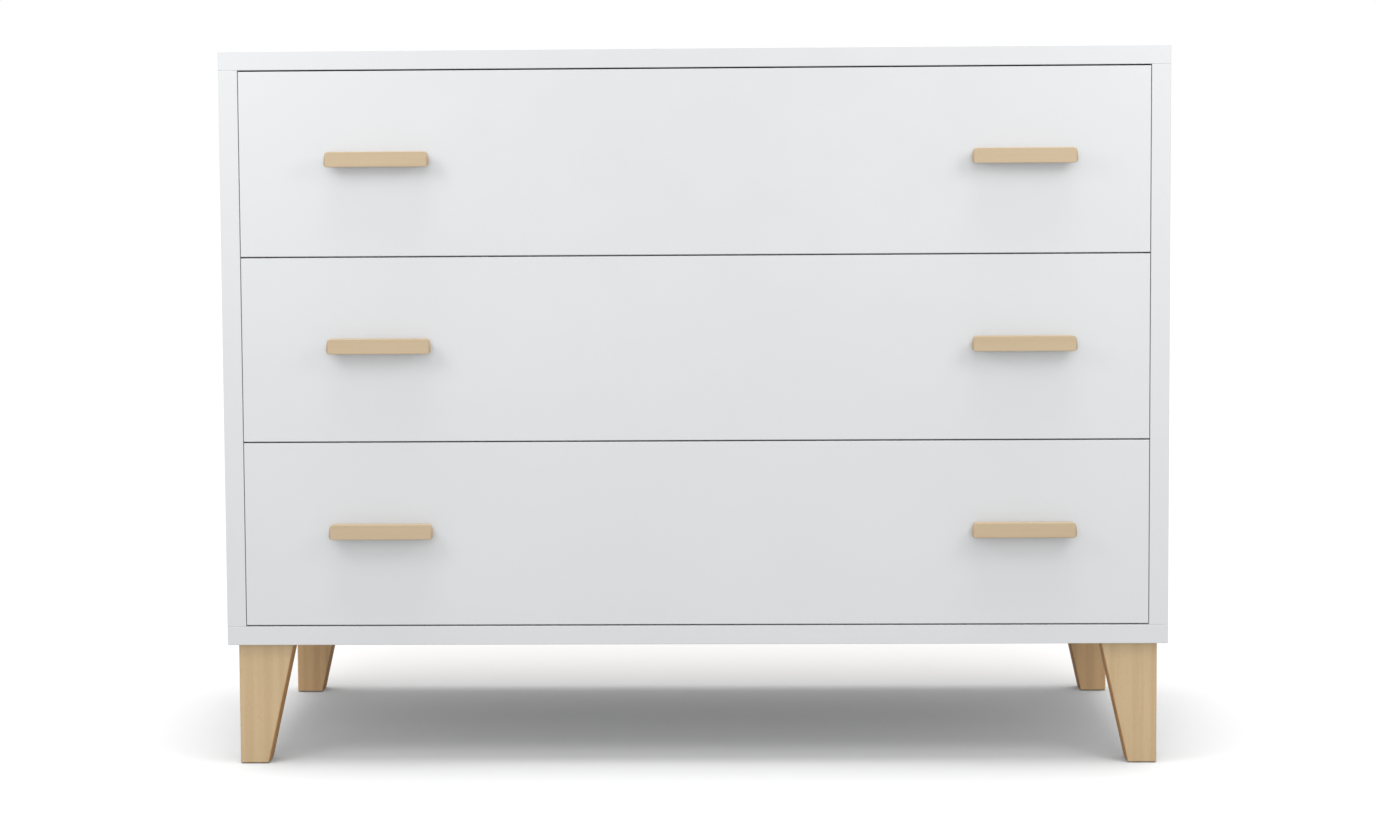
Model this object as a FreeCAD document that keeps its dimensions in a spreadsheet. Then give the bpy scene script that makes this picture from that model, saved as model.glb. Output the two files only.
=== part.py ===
import FreeCAD, Part
import Sketcher
import os
import re

# A three-drawer nursery dresser that serves as a changing table: a lacquered carcass on four
# tapered beech legs, three inset drawers on ball-bearing runners, and two beech bar handles
# on each drawer.
#
# Frame: +X to the right of someone who faces the drawers, +Y to the back, +Z up, millimetres.
# The origin is on the floor, in the middle of the box that holds the whole dresser, handles
# included.  Names in capitals are sheet expressions worked out from the driving sizes.

DRIVING_SIZES = [
    # the dresser as a whole
    ("cabinet_width", 1150.0),
    ("cabinet_depth", 500.0),
    ("cabinet_height", 876.0),
    ("board", 23.0),
    ("edge_round", 0.8),
    ("reveal", 1.8),
    ("side_reveal", 0.9),
    # back panel, let into a rabbet all round
    ("back_panel_thickness", 6.0),
    ("back_panel_inset", 3.0),
    ("back_panel_fit", 0.3),
    ("rabbet_width", 11.0),
    ("back_screw_margin", 70.0),
    # rails between the drawers
    ("rail_depth", 60.0),
    ("rail_thickness", 16.0),
    ("rail_setback", 2.0),
    ("rail_cam_offset", 20.0),
    ("rail_dowel_offset", 45.0),
    # legs
    ("leg_height", 150.0),
    ("leg_inset", 11.3),
    ("leg_recess", 12.0),
    ("leg_top_width", 69.0),
    ("leg_foot_width", 35.0),
    ("leg_thickness", 36.0),
    ("leg_edge_round", 2.0),
    ("leg_bolt_spacing", 28.0),
    ("leg_bolt_side_gap", 1.5),
    ("leg_bolt_radius", 3.0),
    ("leg_bolt_grip", 18.0),
    ("leg_bolt_head_radius", 7.5),
    ("leg_bolt_head_height", 2.5),
    ("hex_key_size", 4.0),
    ("hex_key_depth", 3.5),
    ("insert_radius", 5.0),
    ("insert_length", 20.0),
    ("glide_radius", 11.0),
    ("glide_thickness", 1.2),
    ("glide_pin_radius", 1.5),
    ("glide_pin_length", 12.0),
    # drawer fronts and boxes
    ("front_thickness", 19.0),
    ("side_thickness", 15.0),
    ("side_drop", 30.3),
    ("side_length", 430.0),
    ("side_lift", 14.0),
    ("bottom_thickness", 6.0),
    ("bottom_lift", 12.0),
    ("groove_depth", 8.0),
    ("groove_end_gap", 0.5),
    ("groove_top_gap", 0.3),
    ("lower_cam_rise", 34.0),
    ("upper_cam_drop", 30.0),
    ("lower_corner_screw_rise", 60.0),
    ("upper_corner_screw_drop", 40.0),
    # ball-bearing runners, three channels nested in each other
    ("runner_length", 400.0),
    ("runner_height", 45.0),
    ("runner_thickness", 12.7),
    ("runner_gauge", 1.2),
    ("runner_play", 0.4),
    ("runner_end_gap", 0.5),
    ("runner_head_room", 3.0),
    ("runner_setback", 2.0),
    ("runner_rise", 66.0),
    ("runner_screw_margin", 35.0),
    # beech bar handles
    ("handle_length", 127.0),
    ("handle_height", 18.6),
    ("handle_projection", 24.5),
    ("handle_lip", 11.0),
    ("handle_neck", 8.0),
    ("handle_groove_round", 4.0),
    ("handle_end_bow", 2.6),
    ("handle_corner_round", 2.8),
    ("handle_edge_round", 1.0),
    ("handle_offset", 390.0),
    ("handle_shift", 8.0),
    ("handle_rise", 5.5),
    ("handle_screw_spacing", 96.0),
    ("handle_screw_radius", 2.0),
    ("handle_screw_grip", 14.0),
    ("handle_screw_head_radius", 4.0),
    ("handle_screw_head_height", 2.5),
    # cam fittings and dowels
    ("cam_radius", 7.5),
    ("cam_length", 12.4),
    ("cam_axis_depth", 8.0),
    ("cam_reach", 34.0),
    ("cam_bolt_radius", 2.5),
    ("cam_bolt_head_radius", 3.4),
    ("cam_bolt_head_length", 6.0),
    ("cam_bolt_overrun", 2.4),
    ("cam_bolt_thread_radius", 2.9),
    ("cam_bolt_thread_length", 11.0),
    ("cam_passage_fit", 0.5),
    ("cam_inset", 70.0),
    ("dowel_radius", 4.0),
    ("dowel_length", 30.0),
    ("dowel_chamfer", 1.0),
    ("dowel_inset", 32.0),
    # wood screws
    ("panel_screw_radius", 1.75),
    ("panel_screw_length", 14.0),
    ("panel_screw_head_radius", 3.5),
    ("panel_screw_head_height", 2.0),
    ("corner_screw_radius", 2.0),
    ("corner_screw_length", 40.0),
    ("corner_screw_head_radius", 4.0),
    ("recess_width", 1.2),
    ("recess_depth", 1.2),
    ("recess_share", 0.6),
    ("hole_fit", 0.1),
    ("bolt_fit", 0.2),
    # steel angles that tie the dresser to a wall
    ("bracket_spacing", 800.0),
    ("bracket_width", 40.0),
    ("bracket_leaf", 28.0),
    ("bracket_gauge", 2.0),
    ("bracket_screw_spacing", 24.0),
    ("bracket_screw_offset", 18.0),
    ("wall_hole_radius", 2.75),
    ("wall_hole_drop", 17.0),
]

DRAWER_NAMES = ["lower", "middle", "upper"]
RUNNER_SCREWS = 3
BACK_SCREWS_ALONG_WIDTH = 5
BACK_SCREWS_ALONG_HEIGHT = 3
BOTTOM_SCREWS = 4
HEX_SIDES = 6
EDGE_TOLERANCE = 0.01

INNER_WIDTH = "(cabinet_width - 2 * board)"
HALF_INNER = "(cabinet_width / 2 - board)"
FRONT_Y = "((handle_projection - cabinet_depth) / 2)"
REAR_Y = "((handle_projection + cabinet_depth) / 2)"
FLOOR_Z = "(leg_height + board)"
CEILING_Z = "(cabinet_height - board)"
SIDE_PANEL_HEIGHT = "(cabinet_height - leg_height - 2 * board)"
DRAWERS = str(len(DRAWER_NAMES))
FRONT_HEIGHT = f"(({SIDE_PANEL_HEIGHT} - ({DRAWERS} + 1) * reveal) / {DRAWERS})"
SIDE_HEIGHT = f"({FRONT_HEIGHT} - side_lift - side_drop)"
FRONT_BACK_Y = f"({FRONT_Y} + front_thickness)"
BACK_PANEL_REAR_Y = f"({REAR_Y} - back_panel_inset)"
BACK_PANEL_FRONT_Y = f"({BACK_PANEL_REAR_Y} - back_panel_thickness)"
CAM_AXIS_X = f"({HALF_INNER} + cam_axis_depth)"
BOX_HALF_WIDTH = f"({HALF_INNER} - runner_thickness)"
BOX_INNER_HALF = f"({BOX_HALF_WIDTH} - side_thickness)"
BOX_REAR_Y = f"({FRONT_BACK_Y} + side_length)"
RUNNER_FRONT_Y = f"({FRONT_BACK_Y} + runner_setback)"
RUNNER_REAR_Y = f"({RUNNER_FRONT_Y} + runner_length)"
CARRIER_WEB = "(runner_gauge + runner_head_room)"
CARRIER_DEPTH = f"(runner_thickness - runner_gauge - runner_end_gap - {CARRIER_WEB})"
CARRIER_HEIGHT = "(runner_height - 2 * runner_gauge - 2 * runner_play)"
SLIDER_HEIGHT = f"({CARRIER_HEIGHT} - 2 * runner_gauge - 2 * runner_play)"
SLIDER_DEPTH = f"(runner_thickness - {CARRIER_WEB} - runner_gauge - runner_end_gap)"
OUTER_DEPTH = "(runner_thickness - 2 * runner_gauge - runner_end_gap)"
LEG_TOP_Z = "leg_height"

VECTORS = {
    "+x": FreeCAD.Vector(1, 0, 0),
    "-x": FreeCAD.Vector(-1, 0, 0),
    "+y": FreeCAD.Vector(0, 1, 0),
    "-y": FreeCAD.Vector(0, -1, 0),
    "+z": FreeCAD.Vector(0, 0, 1),
    "-z": FreeCAD.Vector(0, 0, -1),
}
SIDES = {"left": "-", "right": "+"}

doc = FreeCAD.newDocument("NurseryDresser")
sheet = doc.addObject("Spreadsheet::Sheet", "Sizes")
for row, (alias, number) in enumerate(DRIVING_SIZES, start=1):
    sheet.set(f"A{row}", alias.replace("_", " "))
    sheet.set(f"B{row}", str(number))
    sheet.setAlias(f"B{row}", alias)
doc.recompute()

SIZE_WORDS = re.compile(r"\b(" + "|".join(alias for alias, _ in DRIVING_SIZES) + r")\b")
sub_parts = {}


# ---------------------------------------------------------------- sizes, points and headings

def bind(item, prop, expression):
    """Ties a property to the sheet.  The expression names sizes by their plain words."""
    item.setExpression(prop, SIZE_WORDS.sub(r"Sizes.\1", expression))


def value(expression):
    """The number that an expression comes to now, from the sheet's own expression engine."""
    return float(sheet.evalExpression(SIZE_WORDS.sub(r"Sizes.\1", expression)))


def move(point, heading, distance):
    """A point carried along a heading such as "+x" by a distance."""
    moved = list(point)
    index = "xyz".index(heading[1])
    moved[index] = f"{moved[index]} {heading[0]} ({distance})"
    return tuple(moved)


def opposite(heading):
    """The heading that points the other way."""
    return ("-" if heading[0] == "+" else "+") + heading[1]


def turned(z_heading, x_heading=None):
    """The rotation that carries +Z to one heading and, where given, +X to another."""
    z_axis = VECTORS[z_heading]
    if x_heading is None:
        return FreeCAD.Rotation(VECTORS["+z"], z_axis)
    x_axis = VECTORS[x_heading]
    return FreeCAD.Rotation(x_axis, z_axis.cross(x_axis), z_axis, "ZXY")


def place(item, point, rotation=None):
    """Puts an object's origin at a point given as three expressions."""
    if rotation is not None:
        item.Placement.Rotation = rotation
    for axis, expression in zip("xyz", point):
        bind(item, f"Placement.Base.{axis}", expression)


# ------------------------------------------------------------------------- basic solid makers

def origin_plane(body, role):
    """One of a body's own base planes."""
    return [plane for plane in body.Origin.OriginFeatures if plane.Role == role][0]


def new_sketch(body, role):
    """An empty sketch on one of a body's base planes."""
    sketch = body.newObject("Sketcher::SketchObject", "Outline")
    sketch.AttachmentSupport = [(origin_plane(body, role), "")]
    sketch.MapMode = "FlatFace"
    return sketch


def bind_constraint(sketch, name, constraint, expression):
    """Adds a dimension to a sketch and ties it to the sheet."""
    index = sketch.addConstraint(constraint)
    sketch.renameConstraint(index, name)
    bind(sketch, f"Constraints.{name}", expression)


def draw_polygon(sketch, corners):
    """A closed outline of straight edges; each corner is two expressions."""
    points = [FreeCAD.Vector(value(u), value(v), 0) for u, v in corners]
    count = len(points)
    for index in range(count):
        following = points[(index + 1) % count]
        sketch.addGeometry(Part.LineSegment(points[index], following), False)
    for index in range(count):
        joint = Sketcher.Constraint("Coincident", index, 2, (index + 1) % count, 1)
        sketch.addConstraint(joint)
    for index, (u, v) in enumerate(corners):
        pin_coordinate(sketch, index, "X", f"corner{index}u", points[index].x, u)
        pin_coordinate(sketch, index, "Y", f"corner{index}v", points[index].y, v)


def pin_coordinate(sketch, edge, axis, name, coordinate, expression):
    """Ties one coordinate of an edge's first point to the sheet."""
    constraint = Sketcher.Constraint(f"Distance{axis}", -1, 1, edge, 1, coordinate)
    bind_constraint(sketch, name, constraint, expression)


def pad(body, sketch, length, midplane=False):
    """Raises a sketch into a solid."""
    feature = body.newObject("PartDesign::Pad", "Pad")
    feature.Profile = sketch
    feature.Midplane = midplane
    bind(feature, "Length", length)
    doc.recompute()
    return feature


def pocket_through(body, sketch):
    """Cuts a sketch right through a body, both ways."""
    before = body.Shape.Volume
    feature = body.newObject("PartDesign::Pocket", "Pocket")
    feature.Profile = sketch
    feature.Type = "ThroughAll"
    feature.Midplane = True
    doc.recompute()
    if feature.Shape.Volume >= before:
        raise RuntimeError(f"{body.Label}: a pocket cut nothing")
    return feature


def fillet(body, base, radius, wanted=None):
    """Rounds the edges of a feature that a test picks, or all of them."""
    names = []
    for number, edge in enumerate(base.Shape.Edges, start=1):
        if wanted is None or wanted(edge):
            names.append(f"Edge{number}")
    feature = body.newObject("PartDesign::Fillet", "Rounding")
    feature.Base = (base, names)
    bind(feature, "Radius", radius)
    doc.recompute()
    return feature


def board_blank(name, size, corner, rounded=True):
    """A rectangular board from its size and its lowest corner, with eased edges."""
    body = doc.addObject("PartDesign::Body", f"{name}_blank")
    sketch = new_sketch(body, "XY_Plane")
    width, depth, height = size
    draw_polygon(sketch, [("0", "0"), (width, "0"), (width, depth), ("0", depth)])
    solid = pad(body, sketch, height)
    if rounded:
        fillet(body, solid, "edge_round")
    place(body, corner)
    return body


def box_tool(name, size, corner):
    """A plain block that cuts a groove, rabbet or recess."""
    tool = doc.addObject("Part::Box", name)
    for prop, expression in zip(("Length", "Width", "Height"), size):
        bind(tool, prop, expression)
    place(tool, corner)
    return tool


def rod(name, radius, length, start="0"):
    """A cylinder along +Z that starts at a height."""
    cylinder = doc.addObject("Part::Cylinder", name)
    bind(cylinder, "Radius", radius)
    bind(cylinder, "Height", length)
    bind(cylinder, "Placement.Base.z", start)
    return cylinder


def joined(name, pieces):
    """Pieces grown together into one solid."""
    fusion = doc.addObject("Part::MultiFuse", name)
    fusion.Shapes = pieces
    return fusion


def grouped(name, pieces):
    """Separate pieces kept together under one name."""
    group = doc.addObject("Part::Compound", name)
    group.Links = pieces
    return group


def carved(name, blank, tools):
    """A blank with every tool cut out of it."""
    cut = doc.addObject("Part::Cut", name)
    cut.Base = blank
    cut.Tool = tools[0] if len(tools) == 1 else grouped(f"{name}_tools", tools)
    return cut


def copy_of(template, point, rotation):
    """A copy of a template piece at a place of its own."""
    link = doc.addObject("App::Link", f"{template.Name}_copy")
    link.LinkedObject = template
    link.LinkTransform = False
    place(link, point, rotation)
    return link


def sub_part(name, item):
    """Makes an object a named sub-part of the dresser."""
    item.Label = name
    sub_parts[name] = item
    return item


def spread(start, end, count):
    """Expressions for places spread evenly from start to end, both ends included."""
    return [f"({start}) + (({end}) - ({start})) * {step} / {count - 1}" for step in range(count)]


# ------------------------------------------------------------------------- template fasteners

def cross_recess(name, top, head_radius):
    """The two crossed slots that a driver fits, cut up from the head's flat face."""
    length = f"2 * recess_share * ({head_radius})"
    slots = []
    for along, across in ((length, "recess_width"), ("recess_width", length)):
        corner = (f"-({along}) / 2", f"-({across}) / 2", top)
        slots.append(box_tool(name, (along, across, "recess_depth"), corner))
    return joined(f"{name}_cross", slots)


def pan_screw(name, radius, length, head_radius, head_height):
    """A screw along +Z with its head's underside at the origin and a cross recess."""
    head = rod(f"{name}_head", head_radius, head_height, f"-({head_height})")
    shank = rod(f"{name}_shank", radius, length)
    recess = cross_recess(f"{name}_slot", f"-({head_height})", head_radius)
    return carved(name, joined(f"{name}_solid", [head, shank]), [recess])


def countersunk_screw(name, radius, length, head_radius):
    """A screw along +Z whose flat head is flush with the origin plane."""
    head = doc.addObject("Part::Cone", f"{name}_head")
    bind(head, "Radius1", head_radius)
    bind(head, "Radius2", radius)
    bind(head, "Height", f"({head_radius}) - ({radius})")
    shank = rod(f"{name}_shank", radius, length)
    recess = cross_recess(f"{name}_slot", "0", head_radius)
    return carved(name, joined(f"{name}_solid", [head, shank]), [recess])


def countersunk_hole(name, radius, length, head_radius):
    """The hole that a countersunk screw fits."""
    head = doc.addObject("Part::Cone", f"{name}_head")
    bind(head, "Radius1", f"{head_radius} + hole_fit")
    bind(head, "Radius2", f"{radius} + hole_fit")
    bind(head, "Height", f"({head_radius}) - ({radius})")
    shank = rod(f"{name}_shank", f"{radius} + hole_fit", f"{length} + hole_fit")
    return joined(name, [head, shank])


def cam_lock_template():
    """A cam along +Z from its open face, with a bore towards +X for the bolt's head."""
    disc = rod("cam_disc", "cam_radius", "cam_length")
    bore = doc.addObject("Part::Cylinder", "cam_bore")
    bind(bore, "Radius", "cam_bolt_head_radius + bolt_fit")
    bind(bore, "Height", "cam_radius + cam_bolt_head_length")
    place(bore, ("-cam_bolt_head_length / 2", "0", "cam_axis_depth"), turned("+x"))
    recess = cross_recess("cam_slot", "0", "cam_radius")
    return carved("cam_lock", disc, [bore, recess])


def cam_hole_template():
    """The cam's own hole and the bolt's passage to it from the board's edge."""
    seat = rod("cam_seat", "cam_radius + hole_fit", "cam_length + hole_fit")
    passage = doc.addObject("Part::Cylinder", "cam_passage")
    bind(passage, "Radius", "cam_bolt_head_radius + cam_passage_fit")
    bind(passage, "Height", "cam_reach")
    place(passage, ("0", "0", "cam_axis_depth"), turned("+x"))
    return joined("cam_hole", [seat, passage])


def cam_bolt_template():
    """A bolt along +Z: its thread below the origin plane, its head in the cam."""
    thread = rod("cam_bolt_thread", "cam_bolt_thread_radius", "cam_bolt_thread_length",
                 "-cam_bolt_thread_length")
    shaft = rod("cam_bolt_shaft", "cam_bolt_radius", "cam_reach")
    head = rod("cam_bolt_head", "cam_bolt_head_radius", "cam_bolt_head_length",
               "cam_reach + cam_bolt_overrun - cam_bolt_head_length")
    return joined("cam_bolt", [thread, shaft, head])


def dowel_template():
    """A dowel centred on the origin, with chamfered ends."""
    core = rod("dowel_core", "dowel_radius", "dowel_length - 2 * dowel_chamfer",
               "-dowel_length / 2 + dowel_chamfer")
    tip = "dowel_radius - dowel_chamfer"
    ends = []
    for name, base, low_radius, high_radius in (
            ("dowel_low_end", "-dowel_length / 2", tip, "dowel_radius"),
            ("dowel_high_end", "dowel_length / 2 - dowel_chamfer", "dowel_radius", tip)):
        cone = doc.addObject("Part::Cone", name)
        bind(cone, "Radius1", low_radius)
        bind(cone, "Radius2", high_radius)
        bind(cone, "Height", "dowel_chamfer")
        bind(cone, "Placement.Base.z", base)
        ends.append(cone)
    return joined("dowel", [core] + ends)


def leg_bolt_template():
    """A flat-headed bolt along +Z with a hexagon socket; its head's underside is at 0."""
    head = rod("leg_bolt_head", "leg_bolt_head_radius", "leg_bolt_head_height",
               "-leg_bolt_head_height")
    shank = rod("leg_bolt_shank", "leg_bolt_radius", "board + leg_bolt_grip")
    socket = doc.addObject("Part::Prism", "leg_bolt_socket")
    socket.Polygon = HEX_SIDES
    bind(socket, "Circumradius", "hex_key_size / sqrt(3)")
    bind(socket, "Height", "hex_key_depth")
    bind(socket, "Placement.Base.z", "-leg_bolt_head_height")
    return carved("leg_bolt", joined("leg_bolt_solid", [head, shank]), [socket])


def insert_template():
    """A threaded insert along +Z from its open end."""
    sleeve = rod("insert_sleeve", "insert_radius", "insert_length")
    bore = rod("insert_bore", "leg_bolt_radius + hole_fit", "insert_length")
    return carved("insert", sleeve, [bore])


def glide_template():
    """A nail-in glide: its disc stands on the floor and its pin points up."""
    disc = rod("glide_disc", "glide_radius", "glide_thickness")
    pin = rod("glide_pin", "glide_pin_radius", "glide_pin_length", "glide_thickness")
    return joined("glide", [disc, pin])


panel_screw = pan_screw("panel_screw", "panel_screw_radius", "panel_screw_length",
                        "panel_screw_head_radius", "panel_screw_head_height")
panel_screw_hole = rod("panel_screw_hole", "panel_screw_radius + hole_fit",
                       "panel_screw_length + hole_fit")
handle_screw = pan_screw("handle_screw", "handle_screw_radius",
                         "front_thickness + handle_screw_grip",
                         "handle_screw_head_radius", "handle_screw_head_height")
handle_screw_hole = rod("handle_screw_hole", "handle_screw_radius + hole_fit",
                        "front_thickness + handle_screw_grip + hole_fit")
corner_screw = countersunk_screw("corner_screw", "corner_screw_radius", "corner_screw_length",
                                 "corner_screw_head_radius")
corner_screw_hole = countersunk_hole("corner_screw_hole", "corner_screw_radius",
                                     "corner_screw_length", "corner_screw_head_radius")
cam_lock = cam_lock_template()
cam_hole = cam_hole_template()
cam_bolt = cam_bolt_template()
cam_bolt_hole = rod("cam_bolt_hole", "cam_bolt_thread_radius + hole_fit",
                    "cam_bolt_thread_length + hole_fit")
dowel = dowel_template()
dowel_hole = rod("dowel_hole", "dowel_radius + hole_fit", "dowel_length + 2 * hole_fit")
leg_bolt = leg_bolt_template()
leg_bolt_hole = rod("leg_bolt_hole", "leg_bolt_radius + bolt_fit", "board")
insert = insert_template()
insert_hole = rod("insert_hole", "insert_radius + hole_fit", "insert_length + hole_fit")
glide = glide_template()
glide_hole = rod("glide_hole", "glide_pin_radius + hole_fit", "glide_pin_length + hole_fit")
wall_hole = rod("wall_hole", "wall_hole_radius",
                "back_panel_thickness + bracket_gauge + 2 * back_panel_inset")


class Fixings:
    """Gathers the fasteners of one assembly and the holes that they need in each board."""

    def __init__(self):
        self.fasteners = {}
        self.holes = {}

    def fasten(self, kind, template, point, rotation):
        """Adds one fastener of a kind."""
        self.fasteners.setdefault(kind, []).append(copy_of(template, point, rotation))

    def drill(self, board, template, point, rotation):
        """Adds one hole to a board."""
        self.holes.setdefault(board, []).append(copy_of(template, point, rotation))

    def cut(self, board, tool):
        """Adds a groove or rabbet to a board."""
        self.holes.setdefault(board, []).append(tool)

    def screw(self, kind, template, hole, boards, point, heading):
        """A screw through or into boards, from the point under its head."""
        self.fasten(kind, template, point, turned(heading))
        for board in boards:
            self.drill(board, hole, point, turned(heading))

    def cam_joint(self, locked, threaded, point, out, face, lock_kind, bolt_kind):
        """A cam in the locked board draws a bolt that is screwed into the threaded one.

        The point is where the bolt crosses the joint, out points into the locked board and
        face points from the bolt to the surface that the cam is let into.
        """
        cam_point = move(move(point, out, "cam_reach"), face, "cam_axis_depth")
        cam_turn = turned(opposite(face), opposite(out))
        self.fasten(lock_kind, cam_lock, cam_point, cam_turn)
        self.drill(locked, cam_hole, cam_point, cam_turn)
        self.fasten(bolt_kind, cam_bolt, point, turned(out))
        self.drill(threaded, cam_bolt_hole, point, turned(opposite(out)))

    def dowel_joint(self, boards, point, heading):
        """A dowel half in each of two boards."""
        self.fasten("dowels", dowel, point, turned(heading))
        mouth = move(point, opposite(heading), "dowel_length / 2 + hole_fit")
        for board in boards:
            self.drill(board, dowel_hole, mouth, turned(heading))

    def finish_board(self, name, blank):
        """Cuts a board's holes and makes it a sub-part."""
        if name not in self.holes:
            return sub_part(name, blank)
        return sub_part(name, carved(f"{name}_piece", blank, self.holes[name]))

    def finish_fasteners(self, kind, name):
        """Makes the fasteners of one kind a sub-part."""
        return sub_part(name, grouped(f"{name}_group", self.fasteners[kind]))


# ------------------------------------------------------------------------------------ carcass

def leg_blank(name):
    """A leg with its outer edge upright at x = 0 and its inner edge slanted.

    The outline lies across the width, the leg is as thick as it is deep, and its foot is one
    glide's thickness above the floor.
    """
    body = doc.addObject("PartDesign::Body", f"{name}_blank")
    sketch = new_sketch(body, "XZ_Plane")
    draw_polygon(sketch, [("0", "glide_thickness"), ("leg_foot_width", "glide_thickness"),
                          ("leg_top_width", LEG_TOP_Z), ("0", LEG_TOP_Z)])
    solid = pad(body, sketch, "leg_thickness", midplane=True)
    fillet(body, solid, "leg_edge_round")
    return body


def drawer_floor_z(index):
    """The height of a drawer front's lower edge, counted from the lowest drawer."""
    return f"({FLOOR_Z} + reveal + {index} * ({FRONT_HEIGHT} + reveal))"


def runner_z(index):
    """The height of a drawer's runner centre line."""
    return f"({drawer_floor_z(index)} + side_lift + runner_rise)"


def channel_blank(name, depth, height):
    """A runner member: a C section with its web at x = 0, along +Y, centred on z = 0."""
    body = doc.addObject("PartDesign::Body", f"{name}_blank")
    sketch = new_sketch(body, "XZ_Plane")
    half = f"({height}) / 2"
    inner = f"(({height}) / 2 - runner_gauge)"
    draw_polygon(sketch, [("0", f"-{half}"), (depth, f"-{half}"), (depth, f"-{inner}"),
                          ("runner_gauge", f"-{inner}"), ("runner_gauge", inner),
                          (depth, inner), (depth, half), ("0", half)])
    feature = pad(body, sketch, "runner_length")
    feature.Reversed = True
    return body


def place_channel(body, side, web_x, opens_inward, height):
    """Puts a runner member at a side of the cabinet, its channel towards or from the middle."""
    sign = SIDES[side]
    x = f"{sign}({web_x})"
    towards_plus_x = (side == "left") == opens_inward
    if towards_plus_x:
        place(body, (x, RUNNER_FRONT_Y, height))
    else:
        place(body, (x, RUNNER_REAR_Y, height), turned("+z", "-x"))


def runner_screw_places():
    """Where the screws lie along a runner."""
    return spread(f"{RUNNER_FRONT_Y} + runner_screw_margin",
                  f"{RUNNER_REAR_Y} - runner_screw_margin", RUNNER_SCREWS)


def runner_member(name, side, web_x, depth, height, opens_inward, centre_z, screwed=True):
    """One runner member, drilled for its screws where it has them."""
    blank = channel_blank(name, depth, height)
    place_channel(blank, side, web_x, opens_inward, centre_z)
    if not screwed:
        return blank
    heading = "+x" if side == "right" else "-x"
    if not opens_inward:
        heading = opposite(heading)
    tools = []
    for y in runner_screw_places():
        centre = (f"{SIDES[side]}({web_x})", y, centre_z)
        start = move(centre, opposite(heading), "2 * runner_gauge")
        tools.append(copy_of(panel_screw_hole, start, turned(heading)))
    return carved(f"{name}_member", blank, tools)


def add_carcass_joints(fixings):
    """Cams and dowels that hold the side panels to the top and bottom panels."""
    cam_places = [f"{FRONT_Y} + cam_inset", f"{REAR_Y} - cam_inset"]
    dowel_places = [f"{FRONT_Y} + dowel_inset", f"{REAR_Y} - dowel_inset"]
    levels = [("top_panel", CEILING_Z, "-z"), ("bottom_panel", FLOOR_Z, "+z")]
    for side, sign in SIDES.items():
        panel = f"{side}_side_panel"
        inward = opposite(f"{sign}x")
        for deck, z, out in levels:
            for y in cam_places:
                point = (f"{sign}{CAM_AXIS_X}", y, z)
                fixings.cam_joint(panel, deck, point, out, inward, "cam_locks", "cam_bolts")
            for y in dowel_places:
                point = (f"{sign}{CAM_AXIS_X}", y, z)
                fixings.dowel_joint([panel, deck], point, "+z")


def add_rail_joints(fixings, rail, rail_z):
    """A cam and a dowel at each end of a rail."""
    rail_front = f"{FRONT_BACK_Y} + rail_setback"
    axis_z = f"{rail_z} - rail_thickness / 2 + cam_axis_depth"
    for side, sign in SIDES.items():
        panel = f"{side}_side_panel"
        inward = opposite(f"{sign}x")
        cam_point = (f"{sign}{HALF_INNER}", f"{rail_front} + rail_cam_offset", axis_z)
        fixings.cam_joint(rail, panel, cam_point, inward, "-z", "cam_locks", "cam_bolts")
        dowel_point = (f"{sign}{HALF_INNER}", f"{rail_front} + rail_dowel_offset", rail_z)
        fixings.dowel_joint([rail, panel], dowel_point, inward)


def add_back_panel_screws(fixings):
    """Screws through the edge of the back panel into the four boards round it."""
    half_width = f"({HALF_INNER} + rabbet_width / 2)"
    low = f"({FLOOR_Z} - rabbet_width / 2)"
    high = f"({CEILING_Z} + rabbet_width / 2)"
    across = spread(f"-{HALF_INNER} + back_screw_margin", f"{HALF_INNER} - back_screw_margin",
                    BACK_SCREWS_ALONG_WIDTH)
    upright = spread(f"{FLOOR_Z} + back_screw_margin", f"{CEILING_Z} - back_screw_margin",
                     BACK_SCREWS_ALONG_HEIGHT)
    for deck, z in (("top_panel", high), ("bottom_panel", low)):
        for x in across:
            fixings.screw("panel_screws", panel_screw, panel_screw_hole,
                          ["back_panel", deck], (x, BACK_PANEL_REAR_Y, z), "-y")
    for side, sign in SIDES.items():
        for z in upright:
            fixings.screw("panel_screws", panel_screw, panel_screw_hole,
                          ["back_panel", f"{side}_side_panel"],
                          (f"{sign}{half_width}", BACK_PANEL_REAR_Y, z), "-y")


def add_runner_screws(fixings, index):
    """Screws that hold one drawer's outer runner members to the side panels."""
    for side, sign in SIDES.items():
        for y in runner_screw_places():
            point = (f"{sign}({HALF_INNER} - runner_gauge)", y, runner_z(index))
            fixings.screw("panel_screws", panel_screw, panel_screw_hole,
                          [f"{side}_side_panel"], point, f"{sign}x")


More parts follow.
